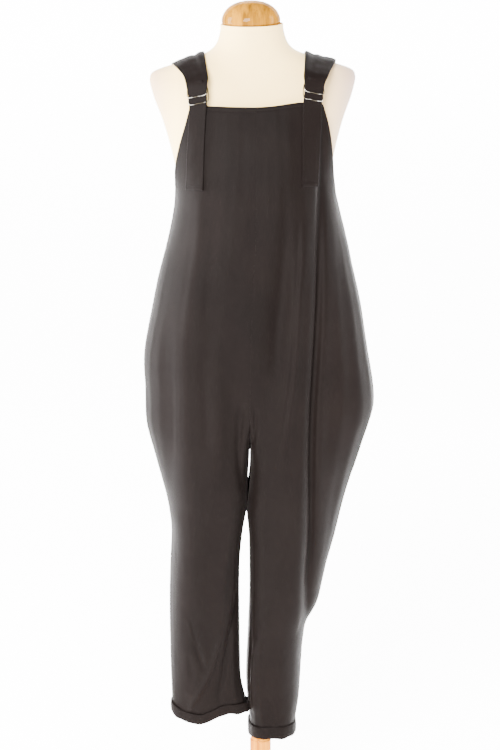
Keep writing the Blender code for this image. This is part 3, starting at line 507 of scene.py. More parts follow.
def cloth_rows(node, wall, centre, corners, step, reach):
    """A cloth solid's outer face as an even grid of points: rows go down, columns across.

    The corners are its top inner, top outer, lower outer and lower inner ones.
    """
    body = outer_face(node, wall, centre)
    loop = edge_loops(body)[0]
    first = min(range(len(loop)), key=lambda k: (loop[k].co - Vector(corners[0])).length)
    loop = loop[first:] + loop[:first]
    marks = [min(range(len(loop)), key=lambda k: (loop[k].co - Vector(c)).length) for c in corners]
    if marks[1] > marks[3]:
        loop = [loop[0]] + loop[:0:-1]
        marks = [0] + [len(loop) - mark for mark in marks[1:]]
    top, outer = loop[: marks[1] + 1], loop[marks[1] : marks[2] + 1]
    low, inner = loop[marks[2] : marks[3] + 1], loop[marks[3] :] + loop[:1]
    across = evened(body, inner, outer)
    down = evened(body, top, low)
    flat = [Vector((across[point.index], 4.0 * down[point.index], 0.0)) for point in body.verts]
    faces = [[point.index for point in face.verts] for face in body.faces]
    faces = [face for face in faces if area_tri(*[flat[k] for k in face]) > 1e-7]
    spots = [point.co.copy() for point in body.verts]
    body.free()
    map_tree = BVHTree.FromPolygons(flat, faces)

    def spot(u, v):
        place, _, face, _ = map_tree.find_nearest(Vector((u, 4.0 * v, 0.0)))
        before = [flat[k] for k in faces[face]]
        return barycentric_transform(place, *before, *[spots[k] for k in faces[face]])

    def rows_at(v_places, u_places):
        return np.array([[spot(u, v)[:] for u in u_places] for v in v_places])

    guide = rows_at(np.linspace(0.0, 1.0, 161), np.linspace(0.0, 1.0, 13))
    lengths = lengths_along(guide, 0)
    widths = lengths_along(guide, 1)
    rows = int(lengths[-1] / step[0]) + 1
    columns = int(widths[-1] / step[1]) + 1
    v_places = np.interp(np.linspace(0.0, lengths[-1], rows), lengths, np.linspace(0.0, 1.0, 161))
    u_places = np.interp(np.linspace(0.0, widths[-1], columns), widths, np.linspace(0.0, 1.0, 13))
    grid = rows_at(v_places, u_places)
    grid = softly(grid, 0, reach[0] / (lengths[-1] / (rows - 1)))
    return softly(grid, 1, reach[1] / (widths[-1] / (columns - 1)))


def lengths_along(grid, axis):
    """How far each row or column lies from the first, on average, in metres."""
    steps = np.linalg.norm(np.diff(grid, axis=axis), axis=2).mean(axis=1 - axis)
    return np.concatenate(([0.0], np.cumsum(steps)))


def through(points, marks, wanted):
    """Reads a smooth curve through rows of points, which lie at the marks."""
    spans = np.diff(marks)
    slopes = np.diff(points, axis=0) / spans[:, None, None]
    tangents = np.empty_like(points)
    tangents[0], tangents[-1] = slopes[0], slopes[-1]
    before, after = spans[:-1, None, None], spans[1:, None, None]
    tangents[1:-1] = (slopes[:-1] * after + slopes[1:] * before) / (before + after)
    at = np.clip(np.searchsorted(marks, wanted, side="right") - 1, 0, len(marks) - 2)
    part = ((wanted - marks[at]) / spans[at])[:, None, None]
    span = spans[at][:, None, None]
    return (
        (2 * part**3 - 3 * part**2 + 1) * points[at]
        + (part**3 - 2 * part**2 + part) * span * tangents[at]
        + (3 * part**2 - 2 * part**3) * points[at + 1]
        + (part**3 - part**2) * span * tangents[at + 1]
    )


def marks_to(length, step, edge_steps):
    """Places along a length: close together at both ends, then evenly."""
    inner = np.arange(edge_steps[-1] + step, length - edge_steps[-1] - 0.5 * step, step)
    ends = np.array(edge_steps)
    return np.concatenate(([0.0], ends, inner, length - ends[::-1], [length]))


def face_normals(grid, closed=False):
    """Unit normals of a grid of points, for rows down and columns across."""
    down = np.gradient(grid, axis=0)
    if closed:
        across = np.roll(grid, -1, axis=1) - np.roll(grid, 1, axis=1)
    else:
        across = np.gradient(grid, axis=1)
    normals = np.cross(down, across)
    return normals / np.linalg.norm(normals, axis=2, keepdims=True)


def outward_normals(grid, middle, closed=False):
    """Unit normals of a grid of points that point away from a middle (x, y) or (x, y, z)."""
    normals = face_normals(grid, closed)
    axes = len(middle)
    if ((grid[:, :, :axes] - np.array(middle)) * normals[:, :, :axes]).sum() < 0.0:
        return -normals
    return normals


def reread(rows, v, u):
    """A grid of points read again at the lengths v down it and u across it."""
    grid = through(rows, lengths_along(rows, 0), v).transpose(1, 0, 2)
    return through(grid, lengths_along(rows, 1), u).transpose(1, 0, 2)


def drape(grid, normals, waves):
    """Slow, long undulations of hanging cloth, the same on both sides of a seam."""
    moved = np.zeros(grid.shape[:2])
    for across, down, height, seed in waves:
        for i, j in np.ndindex(moved.shape):
            x, y, z = grid[i, j]
            moved[i, j] += height * noise.noise(Vector((x * across + seed, y * across, z * down)))
    return grid + normals * moved[:, :, None]


def bell(offset, width):
    """1 where the offset is 0, fading away over the width."""
    return np.exp(-((offset / width) ** 2))


def fold_marks(path, count=25):
    """A fold's line as a smooth chain of (across, height) places."""
    points = np.array(path, float)[:, None, :]
    marks = lengths_along(points, 0)
    return through(points, marks, np.linspace(0.0, marks[-1], count))[:, 0, :]


def pressed_folds(flat, folds):
    """How far folds move each place of the cloth out, for places (across, height)."""
    moved = np.zeros(flat.shape[:2])
    for path, near_width, far_width, rise in folds:
        line = fold_marks(path)
        nearest = np.full(flat.shape[:2], 9.0)
        along_line = np.zeros(flat.shape[:2])
        side = np.zeros(flat.shape[:2])
        for k in range(len(line) - 1):
            start, step = line[k], line[k + 1] - line[k]
            offset = flat - start
            part = np.clip((offset @ step) / (step @ step), 0.0, 1.0)
            distance = np.linalg.norm(offset - part[:, :, None] * step, axis=2)
            closer = distance < nearest
            nearest = np.where(closer, distance, nearest)
            along_line = np.where(closer, (k + part) / (len(line) - 1), along_line)
            cross = offset[:, :, 0] * step[1] - offset[:, :, 1] * step[0]
            side = np.where(closer, np.sign(cross), side)
        width = np.where(side > 0.0, near_width, far_width)
        fade = np.sin(math.pi * along_line).clip(0.0, 1.0) ** 0.6
        moved += rise * fade * bell(nearest, width)
    return moved


def deep_fold(grid):
    """Draws the cloth in beside the long fold's crest, and the crest a little over it."""
    heights, places = np.array(DEEP_FOLD[::-1]).T
    from_crest = grid[:, :, 0] - np.interp(grid[:, :, 2], heights, places)
    front = grid[:, :, 1].min(axis=1, keepdims=True)
    behind = np.clip((grid[:, :, 1] - front - 0.004) / 0.010, 0.0, 1.0)
    depth = np.interp(grid[:, :, 2], *FOLD_DEPTHS)
    ends = np.interp(grid[:, :, 2], *FOLD_ENDS)
    moved = np.zeros_like(grid)
    moved[:, :, 0] = 0.0010 * ends * bell(from_crest + 0.0040, 0.0045)
    moved[:, :, 1] = 0.0030 * depth * behind * bell(from_crest - 0.0050, 0.0070)
    return moved


def flat_cut(u, v):
    """The place of each point of a grid in the flat cut: u across, v down."""
    return np.stack(np.broadcast_arrays(u[None, :], -v[:, None]), axis=2)


def cloth_mesh(name, outer, inner, cut, closed=False):
    """A closed thin wall between two grids, with the flat cut as its UV map."""
    rows, columns = outer.shape[:2]
    layer = rows * columns
    at = np.arange(layer).reshape(rows, columns)
    if closed:
        at = np.hstack((at, at[:, :1]))
    a, b, c, d = at[:-1, :-1], at[:-1, 1:], at[1:, 1:], at[1:, :-1]
    top, foot, near, far = at[0], at[-1], at[:, 0], at[:, -1]
    faces = [(a, d, c, b), (layer + a, layer + b, layer + c, layer + d)]
    faces.append((top[:-1], top[1:], layer + top[1:], layer + top[:-1]))
    faces.append((foot[:-1], layer + foot[:-1], layer + foot[1:], foot[1:]))
    if not closed:
        faces.append((near[:-1], layer + near[:-1], layer + near[1:], near[1:]))
        faces.append((far[:-1], far[1:], layer + far[1:], layer + far[:-1]))
    quads = np.concatenate([np.stack(corners, axis=-1).reshape(-1, 4) for corners in faces])
    mesh = bpy.data.meshes.new(name)
    points = np.concatenate((outer.reshape(-1, 3), inner.reshape(-1, 3)))
    mesh.from_pydata(points.tolist(), [], quads.tolist())
    flat = np.concatenate((cut.reshape(-1, 2), cut.reshape(-1, 2)))[quads]
    if closed:
        girth = cut[0, -1, 0]
        wide = np.ptp(flat[:, :, 0], axis=1) > 0.5 * girth
        wrapped = wide[:, None] & (flat[:, :, 0] < 0.25 * girth)
        flat[:, :, 0] += np.where(wrapped, girth + cut[0, 1, 0] - cut[0, 0, 0], 0.0)
    mesh.uv_layers.new(name="cut").data.foreach_set("uv", flat.ravel())
    body = bmesh.new()
    body.from_mesh(mesh)
    if body.calc_volume(signed=True) < 0.0:
        bmesh.ops.reverse_faces(body, faces=body.faces)
    body.to_mesh(mesh)
    body.free()
    smoothed(mesh, 55.0, charcoal)
    return in_scene(name, mesh)


charcoal = crepe()
SIDE = {"left": 1.0, "right": -1.0}
PANEL_WALL = 0.0012
LEG_MIDDLE = 0.09  # distance of each half's middle from the pole's axis
CROTCH = 0.794
BIB_SEAM = -0.0103  # x of the centre seam in the bib
BIB_CLOSE = 0.0001
BIB_SMOOTH = 0.006  # so far beside the seam the bib's halves are drawn level
BIB_FROM, BIB_BLEND = 1.34, 0.03
KNEES = 0.696  # here the legs almost touch
KNEE_REACH, SEAM_REACH = 0.030, 0.035  # up and down, and away from the inner seam
KNEE_SHIFT = 0.0042  # each leg's way towards the other one at the knees
KNEE_PASS = 0.0030  # how far one leg goes in front and the other one back
FOOT, FOOT_REACH = 0.262, 0.022
FOOT_SHIFT = {"left": 0.0014, "right": 0.0026}
SEAM_TURN = 0.00014  # the seam allowance behind the cut edges closes the seam
SEAM_CLOSE = 0.00012
SEAM_PRESS = {"centre": 0.12, "other": 1.0}  # depth of a pressed seam
SEAM_ROLL, SEAM_WIDTH = 0.0004, 0.0012
PUCKER = 0.00016
HEM_ROW = 0.0085  # stitching below the top edge of the bib and back
HEM_SWELL = 0.00045
EDGE_STEPS = (0.0007, 0.0018, 0.0034)
HEM_STEPS = (0.0062, 0.0074, 0.0085, 0.0096, 0.0108)
PANEL_CORNERS = {
    # top inner, top outer, lower outer, lower inner
    "front_left": (
        (-0.01015, -0.0968, 1.4672), (0.1142, -0.0762, 1.4716),
        (0.0704, 0.0119, 0.2070), (-0.0210, 0.0119, 0.2035),
    ),
    "front_right": (
        (-0.0104, -0.0968, 1.4670), (-0.1333, -0.0784, 1.4675),
        (-0.1805, -0.0102, 0.2587), (-0.0280, -0.0102, 0.2563),
    ),
    "back_left": (
        (-0.0102, 0.1029, 1.4000), (0.0930, 0.0901, 1.4000),
        (0.0704, 0.0121, 0.2070), (-0.0210, 0.0121, 0.2035),
    ),
    "back_right": (
        (-0.0104, 0.1029, 1.4000), (-0.1187, 0.0881, 1.4000),
        (-0.1805, -0.0099, 0.2587), (-0.0280, -0.0099, 0.2561),
    ),
}
# (x, z) places down each fold, its half widths towards -x and +x, and its rise
FRONT_FOLDS = (
    # the foot of the deep fold on the wearer's left, and the soft ridge beside it
    (((0.1100, 1.420), (0.1098, 1.354), (0.1075, 1.207), (0.1063, 1.113), (0.1016, 1.000),
      (0.0967, 0.903), (0.0950, 0.825), (0.0948, 0.620), (0.0902, 0.563), (0.0900, 0.480)),
     0.0046, 0.0046, -0.0046),
    (((0.1230, 1.330), (0.1195, 1.207), (0.1180, 1.113), (0.1135, 1.000), (0.1085, 0.903),
      (0.1070, 0.825), (0.1065, 0.620), (0.1020, 0.520)), 0.0075, 0.0200, 0.0080),
    # long trough and thin ridge between the centre and that fold
    (((0.0470, 1.330), (0.0452, 1.251), (0.0363, 1.113), (0.0273, 1.038), (0.0230, 0.960)),
     0.012, 0.012, -0.0030),
    (((0.0745, 1.260), (0.0733, 1.170), (0.0699, 1.113), (0.0631, 0.981), (0.0541, 0.903),
      (0.0450, 0.845), (0.0330, 0.790)), 0.0032, 0.011, 0.0042),
    (((0.0800, 1.320), (0.0830, 1.240), (0.0820, 1.140)), 0.010, 0.010, 0.0020),
    # short folds over the crotch
    (((-0.0375, 0.915), (-0.0415, 0.855), (-0.0400, 0.800), (-0.0345, 0.735)),
     0.0080, 0.0055, -0.0056),
    (((-0.0105, 0.905), (-0.0120, 0.875), (-0.0155, 0.845), (-0.0180, 0.820)),
     0.0036, 0.0040, -0.0042),
    # the crisp edge on the wearer's right where the front turns to the side
    (((-0.1610, 1.080), (-0.1600, 1.000), (-0.1605, 0.900), (-0.1607, 0.840), (-0.1650, 0.745),
      (-0.1719, 0.700)), 0.0060, 0.0090, 0.0004),
    (((-0.1660, 0.960), (-0.1665, 0.900), (-0.1680, 0.800)), 0.0050, 0.0050, -0.0004),
    # soft upright ridges and hollows on the wearer's right
    (((-0.1160, 1.310), (-0.1150, 1.220), (-0.1190, 1.140), (-0.1290, 1.040)),
     0.011, 0.012, 0.0018),
    (((-0.0950, 1.320), (-0.0930, 1.200), (-0.0970, 1.090), (-0.1000, 0.960)),
     0.014, 0.016, -0.0018),
    (((-0.0880, 1.050), (-0.0820, 0.930), (-0.0800, 0.800), (-0.0860, 0.700)),
     0.016, 0.016, 0.0026),
    (((-0.1100, 1.010), (-0.1060, 0.900), (-0.1020, 0.820)), 0.009, 0.009, -0.0018),
    # small nicks where the cloth has been folded
    (((-0.0960, 1.186), (-0.0860, 1.193), (-0.0740, 1.191)), 0.0022, 0.0022, 0.0011),
    (((-0.0980, 1.173), (-0.0900, 1.180), (-0.0830, 1.177)), 0.0020, 0.0020, -0.0009),
    (((0.0000, 0.748), (0.0060, 0.750), (0.0120, 0.747)), 0.0022, 0.0022, 0.0013),
    # wearer's right leg, down to the turned-up hem
    (((-0.0330, 0.720), (-0.0560, 0.700), (-0.0830, 0.680)), 0.006, 0.004, 0.0012),
    (((-0.0440, 0.530), (-0.0540, 0.450), (-0.0660, 0.390), (-0.0780, 0.325), (-0.0850, 0.280)),
     0.008, 0.0055, -0.0080),
    (((-0.0760, 0.450), (-0.0930, 0.375), (-0.1150, 0.320), (-0.1347, 0.285), (-0.1448, 0.262)),
     0.0065, 0.0045, 0.0058),
    (((-0.1440, 0.470), (-0.1340, 0.430), (-0.1220, 0.402), (-0.1130, 0.393)),
     0.004, 0.003, 0.0016),
    (((-0.1390, 0.458), (-0.1300, 0.422), (-0.1180, 0.396)), 0.005, 0.004, -0.0018),
    (((-0.1320, 0.420), (-0.1200, 0.380), (-0.1130, 0.352)), 0.005, 0.006, -0.0030),
    (((-0.1440, 0.390), (-0.1380, 0.350), (-0.1440, 0.305)), 0.008, 0.008, -0.0022),
    # wearer's left leg
    (((0.0120, 0.510), (0.0070, 0.458), (-0.0020, 0.425), (-0.0090, 0.395)),
     0.0100, 0.0120, 0.0034),
    (((-0.0070, 0.430), (-0.0130, 0.385), (-0.0150, 0.322), (-0.0155, 0.256)),
     0.0038, 0.0090, 0.0062),
    (((-0.0190, 0.480), (-0.0185, 0.400), (-0.0190, 0.330)), 0.004, 0.003, -0.0014),
    (((0.0060, 0.560), (0.0040, 0.440), (0.0030, 0.320)), 0.010, 0.012, -0.0016),
    (((0.0180, 0.290), (0.0240, 0.262), (0.0300, 0.240)), 0.006, 0.006, -0.0014),
)
DEEP_FOLD = (
    # height and x of the long fold's crest
    (1.4655, 0.1114), (1.3537, 0.1056), (1.2068, 0.1027), (1.1134, 0.1015), (0.9998, 0.0968),
    (0.9034, 0.0919), (0.8249, 0.0902), (0.6200, 0.0900), (0.5626, 0.0854), (0.4692, 0.0853),
)
HARD_LINES = {
    # x and z places of the bends that hang softer than the rest
    "left": [(x, z) for z, x in DEEP_FOLD[::-1]],
    "right": [(-0.1690, 0.700), (-0.1607, 0.840), (-0.1600, 1.000), (-0.1610, 1.080)],
}
BACK_FOLDS = (
    (((0.0300, 1.380), (0.0380, 1.280), (0.0520, 1.120), (0.0600, 0.960)), 0.012, 0.016, -0.0040),
    (((0.0620, 1.390), (0.0700, 1.250), (0.0820, 1.080), (0.0850, 0.900), (0.0800, 0.740)),
     0.010, 0.014, 0.0042),
    (((-0.0480, 1.380), (-0.0560, 1.260), (-0.0760, 1.080), (-0.0880, 0.930)),
     0.014, 0.012, -0.0044),
    (((-0.0860, 1.385), (-0.0960, 1.240), (-0.1120, 1.060), (-0.1180, 0.880), (-0.1120, 0.720)),
     0.012, 0.010, 0.0040),
    (((-0.0240, 1.330), (-0.0260, 1.180), (-0.0300, 1.050)), 0.008, 0.008, 0.0022),
    (((0.0130, 1.350), (0.0110, 1.220), (0.0060, 1.100)), 0.008, 0.008, 0.0018),
    (((-0.0230, 0.960), (-0.0420, 0.905), (-0.0560, 0.840), (-0.0620, 0.760)),
     0.006, 0.009, -0.0046),
    (((-0.0190, 0.930), (0.0020, 0.880), (0.0180, 0.820), (0.0240, 0.740)), 0.009, 0.006, -0.0046),
    (((-0.0400, 0.930), (-0.0660, 0.860), (-0.0780, 0.780)), 0.010, 0.010, 0.0030),
    (((0.0200, 0.925), (0.0420, 0.850), (0.0500, 0.770)), 0.010, 0.010, 0.0030),
    (((0.1180, 1.040), (0.1260, 0.960), (0.1240, 0.860)), 0.010, 0.012, -0.0030),
    (((-0.1480, 1.060), (-0.1560, 0.960), (-0.1540, 0.850)), 0.012, 0.010, -0.0030),
    (((-0.1360, 0.620), (-0.1180, 0.520), (-0.1040, 0.420), (-0.1000, 0.330)),
     0.010, 0.012, 0.0038),
    (((-0.0600, 0.600), (-0.0760, 0.480), (-0.0900, 0.380), (-0.1080, 0.300)),
     0.007, 0.010, -0.0044),
    (((-0.1500, 0.430), (-0.1380, 0.370), (-0.1400, 0.320)), 0.007, 0.007, -0.0026),
    (((0.0780, 0.640), (0.0600, 0.520), (0.0460, 0.420), (0.0420, 0.300)), 0.010, 0.012, 0.0036),
    (((0.0060, 0.560), (0.0140, 0.440), (0.0220, 0.330), (0.0180, 0.260)), 0.007, 0.009, -0.0038),
    (((0.0560, 0.420), (0.0480, 0.350), (0.0520, 0.290)), 0.006, 0.006, -0.0020),
)
PANEL_WAVES = (
    # across and down frequency, height, seed
    (13.0, 2.6, 0.0022, 3.1),
    (34.0, 8.0, 0.0007, 8.7),
    (90.0, 40.0, 0.00022, 1.3),
)
FOLDS = {"front": FRONT_FOLDS, "back": BACK_FOLDS}
EASED = {"left": (0.013, 4.5), "right": (0.028, 6.0)}  # reach in metres, and in columns
# where the deep fold is pressed in deepest, and where its crest begins and ends
FOLD_DEPTHS = ((0.50, 0.66, 0.78, 0.92, 1.15, 1.30), (0.9, 1.0, 1.0, 0.6, 0.5, 0.5))
FOLD_ENDS = ((0.46, 0.56, 1.34, 1.44), (0.0, 1.0, 1.0, 0.3))


def meet_in_bib(grid, u):
    """Lets the bib's two halves meet in one smooth face, along a straight seam."""
    first = int(np.searchsorted(u, BIB_SMOOTH))
    slope = (grid[:, first + 2] - grid[:, first]) / (u[first + 2] - u[first])
    straight = grid[:, first, None] + slope[:, None] * (u[None, :first, None] - u[first])
    to_first = grid[:, first, None, 0] - BIB_SEAM
    straight[:, :, 0] = BIB_SEAM + to_first * (u[None, :first] + BIB_CLOSE) / u[first]
    share = np.clip((grid[:, :first, 2:] - BIB_FROM) / BIB_BLEND, 0.0, 1.0)
    grid[:, :first] += share * (straight - grid[:, :first])


def draw_together(grid, u, side):
    """Moves the legs together at the knees, one in front of the other, and at the foot."""
    beside_seam = bell(u[None, :], SEAM_REACH)
    near_knees = np.exp(-(((grid[:, :, 2] - KNEES) / KNEE_REACH) ** 4)) * beside_seam
    near_foot = bell(grid[:, :, 2] - FOOT, FOOT_REACH) * beside_seam
    grid[:, :, 0] -= SIDE[side] * (KNEE_SHIFT * near_knees + FOOT_SHIFT[side] * near_foot)
    grid[:, :, 1] += SIDE[side] * KNEE_PASS * near_knees


def eased(grid, side):
    """Softens the cloth along its hard line."""
    width, reach = EASED[side]
    places, heights = np.array(HARD_LINES[side]).T
    share = bell(grid[:, :, 0] - np.interp(grid[:, :, 2], heights, places), width)
    share = share * np.clip((grid[:, :, 2] - heights[0]) / 0.03 + 1.0, 0.0, 1.0)
    return grid + share[:, :, None] * (softly(grid, 1, reach) - grid)


def sewn_edges(u, v, height, facing):
    """How far the pressed seams and the top hem move the cloth out."""
    above = height > CROTCH
    shut = np.where(above, np.clip(2.0 * np.abs(facing) - 1.0, 0.0, 1.0), 1.0)
    centre = np.where(above, SEAM_PRESS["centre"], SEAM_PRESS["other"])
    moved = np.zeros(height.shape)
    # pressed seams: the cut edges roll in, with small puckers along the thread
    for gap, seed, depth in ((u, 2.0, centre), (u[-1] - u, 5.0, SEAM_PRESS["other"])):
        moved -= SEAM_ROLL * depth * shut * bell(gap[None, :], SEAM_WIDTH)
        pucker = np.sin(height * 540.0 + 2.2 * np.sin(height * 61.0 + seed))
        moved += PUCKER * pucker * bell(gap[None, :] - 0.004, 0.005)
    # the top hem: a double edge, sunk a little along its stitching
    hem = HEM_SWELL * (np.clip((0.0091 - v) / 0.0012, 0.0, 1.0) - bell(v - HEM_ROW, 0.0013))
    return moved + (hem - 0.0006 * bell(v, 0.0010))[:, None]


def panel_piece(face, side):
    """One front or back: the solid's outer face made finer, with its folds and pressed seams."""
    node, middle = f"{face}_{side}", (SIDE[side] * LEG_MIDDLE, 0.0)
    rows = cloth_rows(
        node, PANEL_WALL, lambda place: Vector((*middle, place.z)), PANEL_CORNERS[node],
        step=(0.0050, 0.0025), reach=(0.014, 0.0036 if node == "front_left" else 0.0026),
    )
    u = marks_to(lengths_along(rows, 1)[-1], 0.0025, EDGE_STEPS)
    v = np.union1d(marks_to(lengths_along(rows, 0)[-1], 0.0045, EDGE_STEPS), HEM_STEPS)
    grid = reread(rows, v, u)
    if face == "front":
        meet_in_bib(grid, u)
    normals = outward_normals(grid, middle)
    grid = drape(grid, normals, PANEL_WAVES)
    draw_together(grid, u, side)
    if face == "front":
        grid = eased(grid, side)
    if node == "front_left":
        grid = grid + deep_fold(grid)
        normals = outward_normals(grid, middle)
    facing = normals[:, :, 1] * (-1.0 if face == "front" else 1.0)
    turned = np.clip((facing - 0.05) / 0.35, 0.0, 1.0)
    moved = turned * pressed_folds(grid[:, :, [0, 2]], FOLDS[face])
    moved += sewn_edges(u, v, grid[:, :, 2], facing)
    grid = grid + normals * moved[:, :, None]
    inner = grid - outward_normals(grid, middle) * PANEL_WALL
    for edge, beside in ((0, 1), (-1, -2)):
        across_edge = grid[:, edge] - grid[:, beside]
        across_edge /= np.linalg.norm(across_edge, axis=1, keepdims=True)
        grid[:, edge] += SEAM_CLOSE * across_edge
        inner[:, edge] += SEAM_TURN * across_edge
    piece = cloth_mesh(f"{node}_cloth", grid, inner, flat_cut(u, v))
    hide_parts(node)
    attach(piece, "root")
    return grid, inner, u, v


panels = {
    (face, side): panel_piece(face, side)
    for face in ("front", "back")
    for side in ("right", "left")
}

# ---------------------------------------------------------------- seam allowances
# Inside the garment the cut edges are turned back on both sides of every seam and pressed
# open, in a band 13 mm wide. It also keeps the seams from letting any light through.

ALLOWANCE = np.array((0.0, 0.0018, 0.0040, 0.0065))
SINKS = (0.35, 0.75)  # how deep its two faces lie inside, in walls of cloth
SEAM_TOPS = {"front": 1.4645, "back": 1.3975, "side": 1.300}
LEG_FEET = {"left": 0.225, "right": 0.275}


def seam_allowance(name, first, second, high, low):
    """The pressed-open band behind a seam of two panels, given as (face, side, edge)."""
    heights = np.arange(high, low, -0.008)
    bands = []
    for face, side, edge in (first, second):
        outer, inner, u, _ = panels[face, side]
        u = u if edge == "inner" else u[-1] - u
        order = np.argsort(u)
        for sink in SINKS:
            layer = (inner + (inner - outer) * sink)[::-1, order]
            columns = []
            for place in ALLOWANCE:
                x, y, z = [
                    [np.interp(place, u[order], row[:, k]) for row in layer] for k in range(3)
                ]
                line = (np.interp(heights, z, x), np.interp(heights, z, y), heights)
                columns.append(np.stack(line, axis=1))
            bands.append(np.stack(columns, axis=1))
    faces = [np.concatenate((bands[k][:, ::-1], bands[k + 2]), axis=1) for k in (0, 1)]
    across = np.concatenate((-ALLOWANCE[::-1], ALLOWANCE))
    piece = cloth_mesh(name, faces[0], faces[1], flat_cut(across, -heights))
    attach(piece, "root")


for face in ("front", "back"):
    seam_allowance(
        f"allowance_centre_{face}", (face, "left", "inner"), (face, "right", "inner"),
        SEAM_TOPS[face], CROTCH + 0.004,
    )
for side, foot in LEG_FEET.items():
    tops = {"inner": CROTCH - 0.004, "outer": SEAM_TOPS["side"]}
    for name, edge in (("leg", "inner"), ("side", "outer")):
        seam_allowance(
            f"allowance_{name}_{side}", ("front", side, edge), ("back", side, edge),
            tops[edge], foot,
        )

# ---------------------------------------------------------------- turned-up hems
# A band of the same crepe, folded double and laid round the foot of each leg. Both of its
# edges are soft folds, and it lies a little unevenly.

CUFF_WALL = 0.0016
CUFF_WAVES = ((60.0, 30.0, 0.0010, 6.4), (150.0, 90.0, 0.0004, 2.8))
CUFF_COLUMNS = 200
CUFF_SHIFT = 1.3  # how much of the foot's shift the cuff takes
CUFF_STRAY = 0.0026  # how far its edges wander up and down
CUFF_BULGE = 0.0006
CUFF_ROLL = 0.0007  # how far the folded edges roll in, and over what width


def around(loop, sign, places):
    """A closed loop of points read evenly, from its outermost point on, seen turning one way."""
    points = [point.co.copy() for point in loop]
    turning = sum(a.x * b.y - b.x * a.y for a, b in zip(points, points[1:] + points[:1]))
    if turning < 0.0:
        points.reverse()
    first = max(range(len(points)), key=lambda k: sign * points[k].x)
    points = points[first:] + points[:first]
    chain = np.array([point[:] for point in points[-3:] + points + points[:4]])[:, None, :]
    marks = lengths_along(chain, 0)
    start, end = marks[3], marks[3 + len(points)]
    return through(chain, marks, start + (end - start) * places)[:, 0, :]


def cuff_piece(side):
    """One turned-up hem: its solid's outer face made finer, with soft uneven edges."""
    node, sign = f"cuff_{side}", SIDE[side]
    low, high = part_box(node)
    middle = (low + high) / 2.0
    body = outer_face(node, CUFF_WALL, lambda place: Vector((middle.x, middle.y, place.z)))
    loops = sorted(edge_loops(body)[:2], key=lambda loop: -sum(p.co.z for p in loop) / len(loop))
    places = np.arange(CUFF_COLUMNS) / CUFF_COLUMNS
    top, foot = [around(loop, sign, places) for loop in loops]
    body.free()
    height = float(np.linalg.norm(top - foot, axis=1).mean())
    v = marks_to(height, 0.0020, (0.0004, 0.0009, 0.0016))
    part = (v / height)[:, None, None]
    grid = top[None] * (1.0 - part) + foot[None] * part
    normals = outward_normals(grid, (middle.x, middle.y), closed=True)
    grid = drape(grid, normals, CUFF_WAVES)
    towards = np.clip(-sign * (grid[:, :, 0] - middle.x) / (0.5 * (high.x - low.x)), 0.0, 1.0)
    grid[:, :, 0] -= sign * FOOT_SHIFT[side] * CUFF_SHIFT * towards**3
    for j, (x, y, z) in enumerate(grid[0]):
        lift = CUFF_STRAY * noise.noise(Vector((x * 42.0, y * 42.0, 3.3)))
        drop = CUFF_STRAY * noise.noise(Vector((x * 55.0, y * 55.0, 9.1)))
        grid[:, j, 2] += lift + (drop - lift) * v / height
    roll = CUFF_ROLL * bell(np.minimum(v, height - v), CUFF_ROLL)[:, None, None]
    bulge = CUFF_BULGE * np.sin(math.pi * np.clip(v / height, 0.0, 1.0))[:, None, None]
    grid = grid + normals * (bulge - roll)
    inner = grid - normals * (CUFF_WALL - 1.2 * roll)
    girth = float(np.linalg.norm(np.roll(foot, -1, axis=0) - foot, axis=1).sum())
    piece = cloth_mesh(f"{node}_cloth", grid, inner, flat_cut(girth * places, v), closed=True)
    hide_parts(node)
    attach(piece, "root")


for side in ("right", "left"):
    cuff_piece(side)

# ---------------------------------------------------------------- straps
# Doubled strips of crepe, sewn to the top of the back, laid over the shoulders and passed
# through the rings, so that a square-cut tail hangs down on the bib.

STRAP_WALL = 0.0024
STRAP_CORNERS = {
    "left": (
        (0.0322, 0.1032, 1.4003), (0.0917, 0.0918, 1.4003),
        (0.1059, -0.1002, 1.3215), (0.0763, -0.1186, 1.3216),
    ),
    "right": (
        (-0.0563, 0.1026, 1.4003), (-0.1167, 0.0901, 1.4003),
        (-0.1426, -0.0833, 1.3142), (-0.1092, -0.1118, 1.3145),
    ),
}
STRAP_WAVES = ((22.0, 26.0, 0.0009, 4.2), (70.0, 60.0, 0.0004, 7.7))
STRAP_NECK = {"left": 1.524, "right": 1.520}  # height where the inner edge bends in most
NECK_REACH, NECK_SHIFT = 0.016, 0.0042
STRAP_WAIST = {
    # height, spread and how far the outer edge lies further out there
    "left": (1.5235, 0.009, 0.0028),
    "right": (1.531, 0.013, -0.0046),
}
SHOULDER_RIDGES = {
    # places across from the inner edge, and how far the cloth stands up there
    "right": (
        (0.00, 0.08, 0.19, 0.28, 0.32, 0.38, 0.53, 0.66, 0.77, 0.90, 1.00),
        (0.0006, 0.0020, 0.0030, 0.0006, 0.0002, 0.0022, 0.0036, 0.0022, 0.0030, 0.0016, 0.0000),
    ),
    "left": (
        (0.00, 0.05, 0.16, 0.30, 0.41, 0.52, 0.60, 0.69, 0.80, 0.91, 1.00),
        (0.0020, 0.0040, 0.0030, 0.0014, 0.0038, 0.0032, 0.0030, 0.0046, 0.0056, 0.0074, 0.0070),
    ),
}
SHOULDER = 0.022  # how far down the ridges reach
STRAP_STEPS = (0.0006, 0.0014, 0.0026)
TAIL_SWELL = 0.00080
EDGE_ROLL = 0.0009
EDGE_ROW = 0.0032  # stitching beside the long edges


